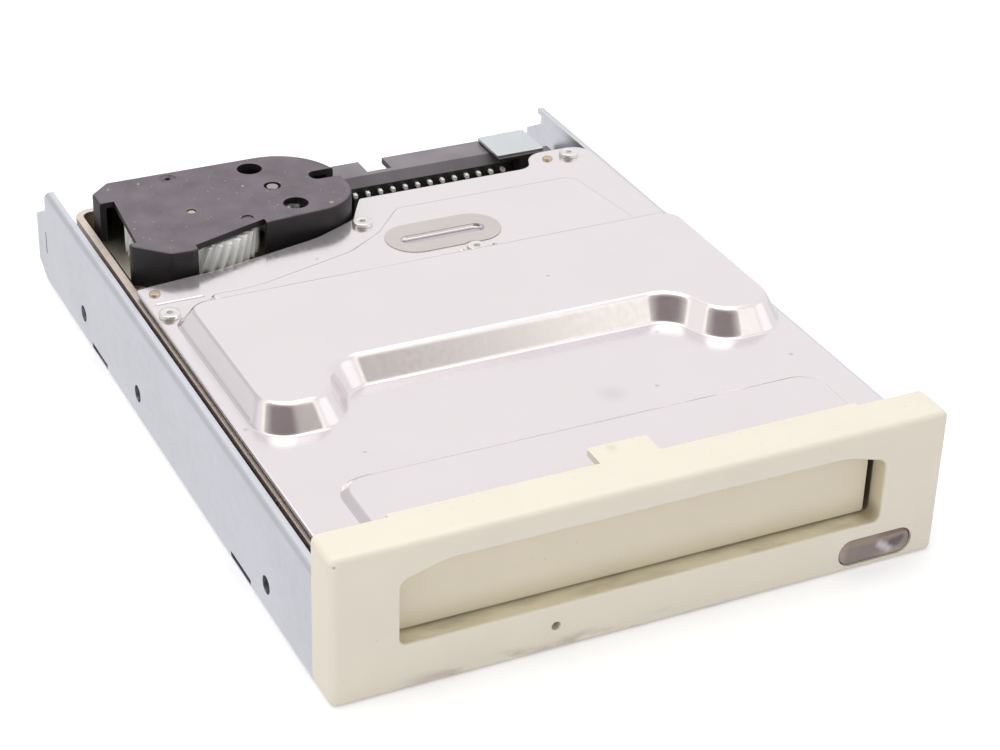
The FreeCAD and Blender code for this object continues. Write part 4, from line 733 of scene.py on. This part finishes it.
def pressed_cover():
    """The stamped cover: a level sheet with its pressings, closed below at its sheet thickness."""
    work = bmesh.new()
    edge = rounded(COVER_EDGE)
    border = raised(work, inset(edge, COVER_BORDER), COVER_TOP)
    boss = pressing(work, BOSS)
    pad = pressing(work, PAD)
    plan = rounded(TERRACE)
    terrace = [raised(work, inset(plan, depth), COVER_TOP + rise) for depth, rise in TERRACE_STEP]
    groove = sunk_line(work, GROOVE_AT, GROOVE_FLANK, GROOVE, COVER_TOP + TERRACE_RISE)
    score = sunk_line(work, SCORE_AT, SCORE_FLANK, SCORE, COVER_TOP)
    for rings in (boss, pad, terrace, groove, score):
        skirt(work, rings)
    flat(work, border, boss[0], pad[0], terrace[0], score[0])
    flat(work, terrace[-1], groove[0])
    for rings in (boss, pad, groove, score):
        flat(work, rings[-1])
    bmesh.ops.recalc_face_normals(work, faces=work.faces)
    if sum(face.normal.z * face.calc_area() for face in work.faces) < 0:
        bmesh.ops.reverse_faces(work, faces=work.faces)
    work.normal_update()
    under = {}
    for vert in list(work.verts):
        under[vert] = work.verts.new(vert.co - vert.normal * COVER_SHEET * MM)
    for face in list(work.faces):
        work.faces.new([under[vert] for vert in reversed(face.verts)])
    rim = [raised(work, inset(edge, depth), COVER_TOP - drop) for depth, drop in COVER_RIM]
    skirt(work, [border, *rim, [under[vert] for vert in border]])
    cover = made(work, "top_cover", COVER_SHARP)
    cover.modifiers.new("flat_walls", "WEIGHTED_NORMAL").keep_sharp = True


# Turned pieces

TURN_STEPS = 36
COVER_SCREWS = ((-45.7, 81.8), (-3.8, 100.4), (43.0, 112.2))
CAP_SCREW = (11.0, 84.5)
PINS = ((-45.6, 89.8), (38.6, 112.2))
# radius and height, from foot to top
PIN = ((0.75, 15.0), (0.95, 15.3), (0.95, 20.9), (0.88, 21.04), (0.7, 21.1), (0.6, 21.1))
AXLE = ((0.7, 12.2), (0.8, 12.3), (0.8, 24.2), (0.72, 24.44), (0.55, 24.5), (0.4, 24.5))
SHAFT = ((1.3, 14.2), (1.5, 14.4), (1.5, 23.9), (1.12, 24.1), (1.08, 24.42), (1.0, 24.5), (0.85, 24.5))


def turned_ring(work, x, y, radius, z, hexagon=False):
    """A ring about an upright axis: round, or six-sided with a radius to the middle of its sides."""
    points = []
    for step in range(TURN_STEPS):
        angle = 2 * math.pi * step / TURN_STEPS
        side = (math.degrees(angle) + 30) % 60 - 30
        reach = radius / math.cos(math.radians(side)) if hexagon else radius
        points.append(row(x + reach * math.cos(angle), y + reach * math.sin(angle), z))
    return loop(work, points)


def turned(node, places, profile):
    """Show a node as turned solids of one profile, at their places."""
    work = bmesh.new()
    for x, y in places:
        closed(work, [turned_ring(work, x, y, radius, z) for radius, z in profile])
    made(work, node)


def socket_screws(node, places, shank, foot, head, seat, top, socket, depth):
    """Show a node as flat-headed screws with six-sided sockets: radii, heights and the socket's depth."""
    profile = (
        (shank - 0.25, foot), (shank, foot + 0.25), (shank, seat), (head - 0.08, seat),
        (head, seat + 0.08), (head, top - 0.24), (head - 0.07, top - 0.08), (head - 0.24, top),
        (head - 0.36, top),
    )
    hollow = ((socket + 0.1, 0), (socket + 0.05, 0.01), (socket, 0.07), (socket - 0.02, depth))
    work = bmesh.new()
    for x, y in places:
        rings = [turned_ring(work, x, y, radius, z) for radius, z in profile]
        rings += [turned_ring(work, x, y, radius, top - drop, hexagon=True) for radius, drop in hollow]
        closed(work, rings)
    made(work, node)


def fasteners():
    """Screws, dowels and shaft ends that show on the outside."""
    socket_screws("cover_screws", COVER_SCREWS, shank=1.0, foot=15.0, head=1.8, seat=COVER_TOP, top=21.5,
                  socket=0.5, depth=0.5)
    socket_screws("pivot_cap_screw", [CAP_SCREW], shank=0.8, foot=16.6, head=1.7,
                  seat=COVER_TOP + TERRACE_RISE, top=21.4, socket=0.55, depth=0.35)
    turned("locating_pins", PINS, PIN)
    turned("drive_axle", [GEAR_AXIS], AXLE)
    turned("motor_shaft", [MOTOR_AXIS], SHAFT)


# Eject button

BUTTON_AT = (39.9, 3.4)
BUTTON_FLANK = 4.25
BUTTON_TALL = 2.25
# end radius and depth behind the bezel's face: flange, wall, rounded rim and swelling face
BUTTON_BODY = (
    (3.3, 5.9), (3.45, 5.8), (3.45, 4.8), (3.35, 4.7), (2.35, 4.7), (2.25, 4.6), (2.25, 0.5),
    (2.23, 0.37), (2.16, 0.27), (2.02, 0.2), (1.8, 0.15), (1.5, 0.11), (1.2, 0.08), (0.9, 0.06),
    (0.6, 0.05),
)
BUTTON_SHARP = 50
# half sides and corner of the stem, and its inset and depth from the flange to the switch
STEM_WIDE, STEM_TALL, STEM_CORNER = 1.6, 0.8, 0.25
STEM_BODY = ((0, 5.7), (0, 8.6), (0.15, 8.8))


def upright_ring(work, outline, y):
    """A ring over an outline about the button's middle, facing forward at a depth."""
    x, z = BUTTON_AT
    return loop(work, [row(x + u, y, z + v) for u, v in outline])


def button_outline(radius):
    """A bar with round ends, cut level at the button's height."""
    spots = stadium(BUTTON_FLANK + radius, radius)
    return [(u, max(-BUTTON_TALL, min(BUTTON_TALL, v))) for u, v in spots]


def eject_button():
    """Softly swelling button with its hidden flange, and a stem that reaches the switch."""
    work = bmesh.new()
    closed(work, [upright_ring(work, button_outline(radius), y) for radius, y in BUTTON_BODY])
    corners = ((-1, -1), (1, -1), (1, 1), (-1, 1))
    stem = rounded([(u * STEM_WIDE, v * STEM_TALL, STEM_CORNER) for u, v in corners], 3)
    closed(work, [upright_ring(work, inset(stem, shrink), y) for shrink, y in STEM_BODY])
    made(work, "eject_button", BUTTON_SHARP)


# width of the broken edges of the dressed pieces
BROKEN_EDGES = {
    "gearbox_cover": 0.12, "power_connector": 0.1, "motor_screws": 0.06, "drive_gear": 0, "motor_pinion": 0,
    "bezel": 0.2, "flap_door": 0.12, "chassis_tray": 0.1, "interface_header": 0.1, "connector_clip": 0.08,
    "base_deck": 0.12, "cover_seal": 0.05,
}
# changes to the form of some of them
RESHAPED = {
    "gearbox_cover": slanted_side_window,
    "power_connector": lowered_right_end,
    "motor_screws": sunk_heads,
    "drive_gear": leaning_teeth(GEAR_AXIS, GEAR_TEETH, hand=1),
    "motor_pinion": leaning_teeth(MOTOR_AXIS, PINION_TEETH, hand=-1),
}

pressed_cover()
fasteners()
eject_button()
for node, edge in BROKEN_EDGES.items():
    dressed(node, edge, RESHAPED.get(node))
for node, material in finishes.items():
    mesh = frame["nodes"][node].data
    for index in range(len(mesh.materials)):
        mesh.materials[index] = material


# Studio

# half side of the paper, in metres
FLOOR_HALF = 3
PAPER, MIRRORED_PAPER = (0.88, 0.88, 0.89), (0.82, 0.82, 0.83)
# the lamps reach the paper near the object; farther off, between these distances, it is lifted more
FLOOR_NEAR, FLOOR_FAR = 350, 900
NEAR_LIFT, FAR_LIFT = 0.22, 1.0
# light of the room on the object, against white where it is looked at
ROOM_LIGHT, SEEN_LIGHT = 0.5, 1.0
# the room that the metal mirrors, by closeness to the direction behind the lens: white, pale, then dim
LENS_SIDE = (-0.44, -0.73, 0.52)
ROOM_TONES = (
    (0.46, (1, 1, 1)), (0.60, (1.5, 1.48, 1.34)), (0.66, (0.56, 0.555, 0.515)), (0.78, (0.36, 0.32, 0.30)),
    (0.88, (0.12, 0.075, 0.08)),
)
# areas of that room: direction, closeness to it where the area begins and is full, and its brightness
ROOM_AREAS = {
    "ceiling": ((0, 0, 1), 0.86, 0.94, 2.2),
    "right_lamp": ((0.80, -0.36, 0.48), 0.94, 0.985, 1.35),
    "left_wall": ((-0.505, 0.808, 0.303), 0.76, 0.92, 0.64),
    "rear_wall": ((0.40, 0.915, 0.03), 0.94, 0.985, 0.45),
}
# camera at the photograph's viewing angle: metres, degrees and millimetres
CAMERA_AT = (-0.151813, -0.323369, 0.213840)
CAMERA_AZIMUTH, CAMERA_ELEVATION, CAMERA_ROLL = -26.562, 30.314, 1.875
LENS_LENGTH, SENSOR_WIDTH = 87.157, 36
CAMERA_NEAR = 0.01


def floor():
    """Pale paper that is lifted to white where it is looked at or mirrored, and keeps the shadow."""
    mesh = bpy.data.meshes.new("floor")
    corners = [(x * FLOOR_HALF, y * FLOOR_HALF, 0) for x, y in ((-1, -1), (1, -1), (1, 1), (-1, 1))]
    mesh.from_pydata(corners, [], [(0, 1, 2, 3)])
    plane = bpy.data.objects.new("floor", mesh)
    bpy.context.scene.collection.objects.link(plane)
    skin = Surface("floor_paper", PAPER, 0.8)
    path = skin.nodes.new("ShaderNodeLightPath")
    skin.shader.inputs["Emission Color"].default_value = (1, 1, 1, 1)
    near = skin.spot((0, HALF_DEPTH, 0), FLOOR_NEAR, FLOOR_FAR)
    lift = skin.times(path.outputs["Is Camera Ray"], skin.ramp(near, 0, 1, FAR_LIFT, NEAR_LIFT))
    skin.links.new(lift, skin.shader.inputs["Emission Strength"])
    mirrored = skin.nodes.new("ShaderNodeEmission")
    mirrored.inputs["Color"].default_value = (*MIRRORED_PAPER, 1)
    either = skin.nodes.new("ShaderNodeMixShader")
    skin.links.new(path.outputs["Is Glossy Ray"], either.inputs["Fac"])
    skin.links.new(skin.shader.outputs["BSDF"], either.inputs[1])
    skin.links.new(mirrored.outputs["Emission"], either.inputs[2])
    skin.links.new(either.outputs["Shader"], skin.nodes["Material Output"].inputs["Surface"])
    mesh.materials.append(skin.material)


def linked_math(tree, operation, a, b):
    node = tree.nodes.new("ShaderNodeMath")
    node.operation = operation
    tree.links.new(a, node.inputs[0])
    tree.links.new(b, node.inputs[1])
    return node.outputs["Value"]


def world():
    """White where it is looked at; to mirrors a white room that is dim where the lens stands."""
    sky = bpy.data.worlds.new("studio")
    bpy.context.scene.world = sky
    sky.use_nodes = True
    tree = sky.node_tree
    nodes, links = tree.nodes, tree.links
    path = nodes.new("ShaderNodeLightPath")
    plain = nodes["Background"]
    seen = linked_math(tree, "MAXIMUM", path.outputs["Is Camera Ray"], path.outputs["Is Transmission Ray"])
    strength = nodes.new("ShaderNodeMapRange")
    strength.inputs["To Min"].default_value = ROOM_LIGHT
    strength.inputs["To Max"].default_value = SEEN_LIGHT
    links.new(seen, strength.inputs["Value"])
    plain.inputs["Color"].default_value = (1, 1, 1, 1)
    links.new(strength.outputs["Result"], plain.inputs["Strength"])
    direction = nodes.new("ShaderNodeTexCoord").outputs["Generated"]

    def toward(place):
        node = nodes.new("ShaderNodeVectorMath")
        node.operation = "DOT_PRODUCT"
        node.inputs[1].default_value = place
        links.new(direction, node.inputs[0])
        return node.outputs["Value"]

    def level(place, edge, core, brightness):
        node = nodes.new("ShaderNodeMapRange")
        node.interpolation_type = "SMOOTHSTEP"
        node.inputs["From Min"].default_value = edge
        node.inputs["From Max"].default_value = core
        node.inputs["To Min"].default_value = 1.0
        node.inputs["To Max"].default_value = brightness
        links.new(toward(place), node.inputs["Value"])
        return node.outputs["Result"]

    room = nodes.new("ShaderNodeValToRGB")
    stops = room.color_ramp.elements
    given = len(stops)
    for index, (place, colour) in enumerate(ROOM_TONES):
        stop = stops[index] if index < given else stops.new(place)
        stop.position = place
        stop.color = (*colour, 1)
    links.new(toward(LENS_SIDE), room.inputs["Fac"])
    levels = [level(*area) for area in ROOM_AREAS.values()]
    brightness = levels[0]
    for factor in levels[1:]:
        brightness = linked_math(tree, "MULTIPLY", brightness, factor)
    mirrored = nodes.new("ShaderNodeBackground")
    links.new(room.outputs["Color"], mirrored.inputs["Color"])
    links.new(brightness, mirrored.inputs["Strength"])
    either = nodes.new("ShaderNodeMixShader")
    links.new(path.outputs["Is Glossy Ray"], either.inputs["Fac"])
    links.new(plain.outputs["Background"], either.inputs[1])
    links.new(mirrored.outputs["Background"], either.inputs[2])
    links.new(either.outputs["Shader"], nodes["World Output"].inputs["Surface"])


def softbox(name, place, target, size, watts):
    """A soft lamp; the room that the metal mirrors is the world's alone."""
    lamp = bpy.data.lights.new(name, "AREA")
    lamp.shape = "RECTANGLE"
    lamp.size, lamp.size_y = size
    lamp.energy = watts
    obj = bpy.data.objects.new(name, lamp)
    obj.location = place
    obj.rotation_euler = (Vector(target) - Vector(place)).to_track_quat("-Z", "Y").to_euler()
    obj.visible_glossy = False
    bpy.context.scene.collection.objects.link(obj)


def camera():
    """Camera that looks at the drive from the front left and above."""
    lens = bpy.data.cameras.new("camera")
    lens.sensor_width = SENSOR_WIDTH
    lens.lens = LENS_LENGTH
    lens.clip_start = CAMERA_NEAR
    azimuth, elevation = math.radians(CAMERA_AZIMUTH), math.radians(CAMERA_ELEVATION)
    roll = math.radians(CAMERA_ROLL)
    back = Vector((math.sin(azimuth) * math.cos(elevation), -math.cos(azimuth) * math.cos(elevation),
                   math.sin(elevation)))
    right = Vector((0, 0, 1)).cross(back).normalized()
    up = back.cross(right)
    rolled_right = right * math.cos(roll) + up * math.sin(roll)
    rolled_up = up * math.cos(roll) - right * math.sin(roll)
    obj = bpy.data.objects.new("camera", lens)
    obj.matrix_world = Matrix((rolled_right, rolled_up, back)).transposed().to_4x4()
    obj.location = CAMERA_AT
    bpy.context.scene.collection.objects.link(obj)
    bpy.context.scene.camera = obj


floor()
world()
softbox("top_box", place=(-0.1, 0.12, 0.75), target=(0, 0, 0), size=(0.9, 0.9), watts=4.75)
softbox("left_box", place=(-0.75, -0.25, 0.45), target=(0, 0, 0.01), size=(0.6, 0.5), watts=1.2)
softbox("front_box", place=(0.25, -0.85, 0.5), target=(0, 0, 0.01), size=(0.8, 0.5), watts=1.15)
camera()
bpy.context.scene.view_settings.view_transform = "Standard"
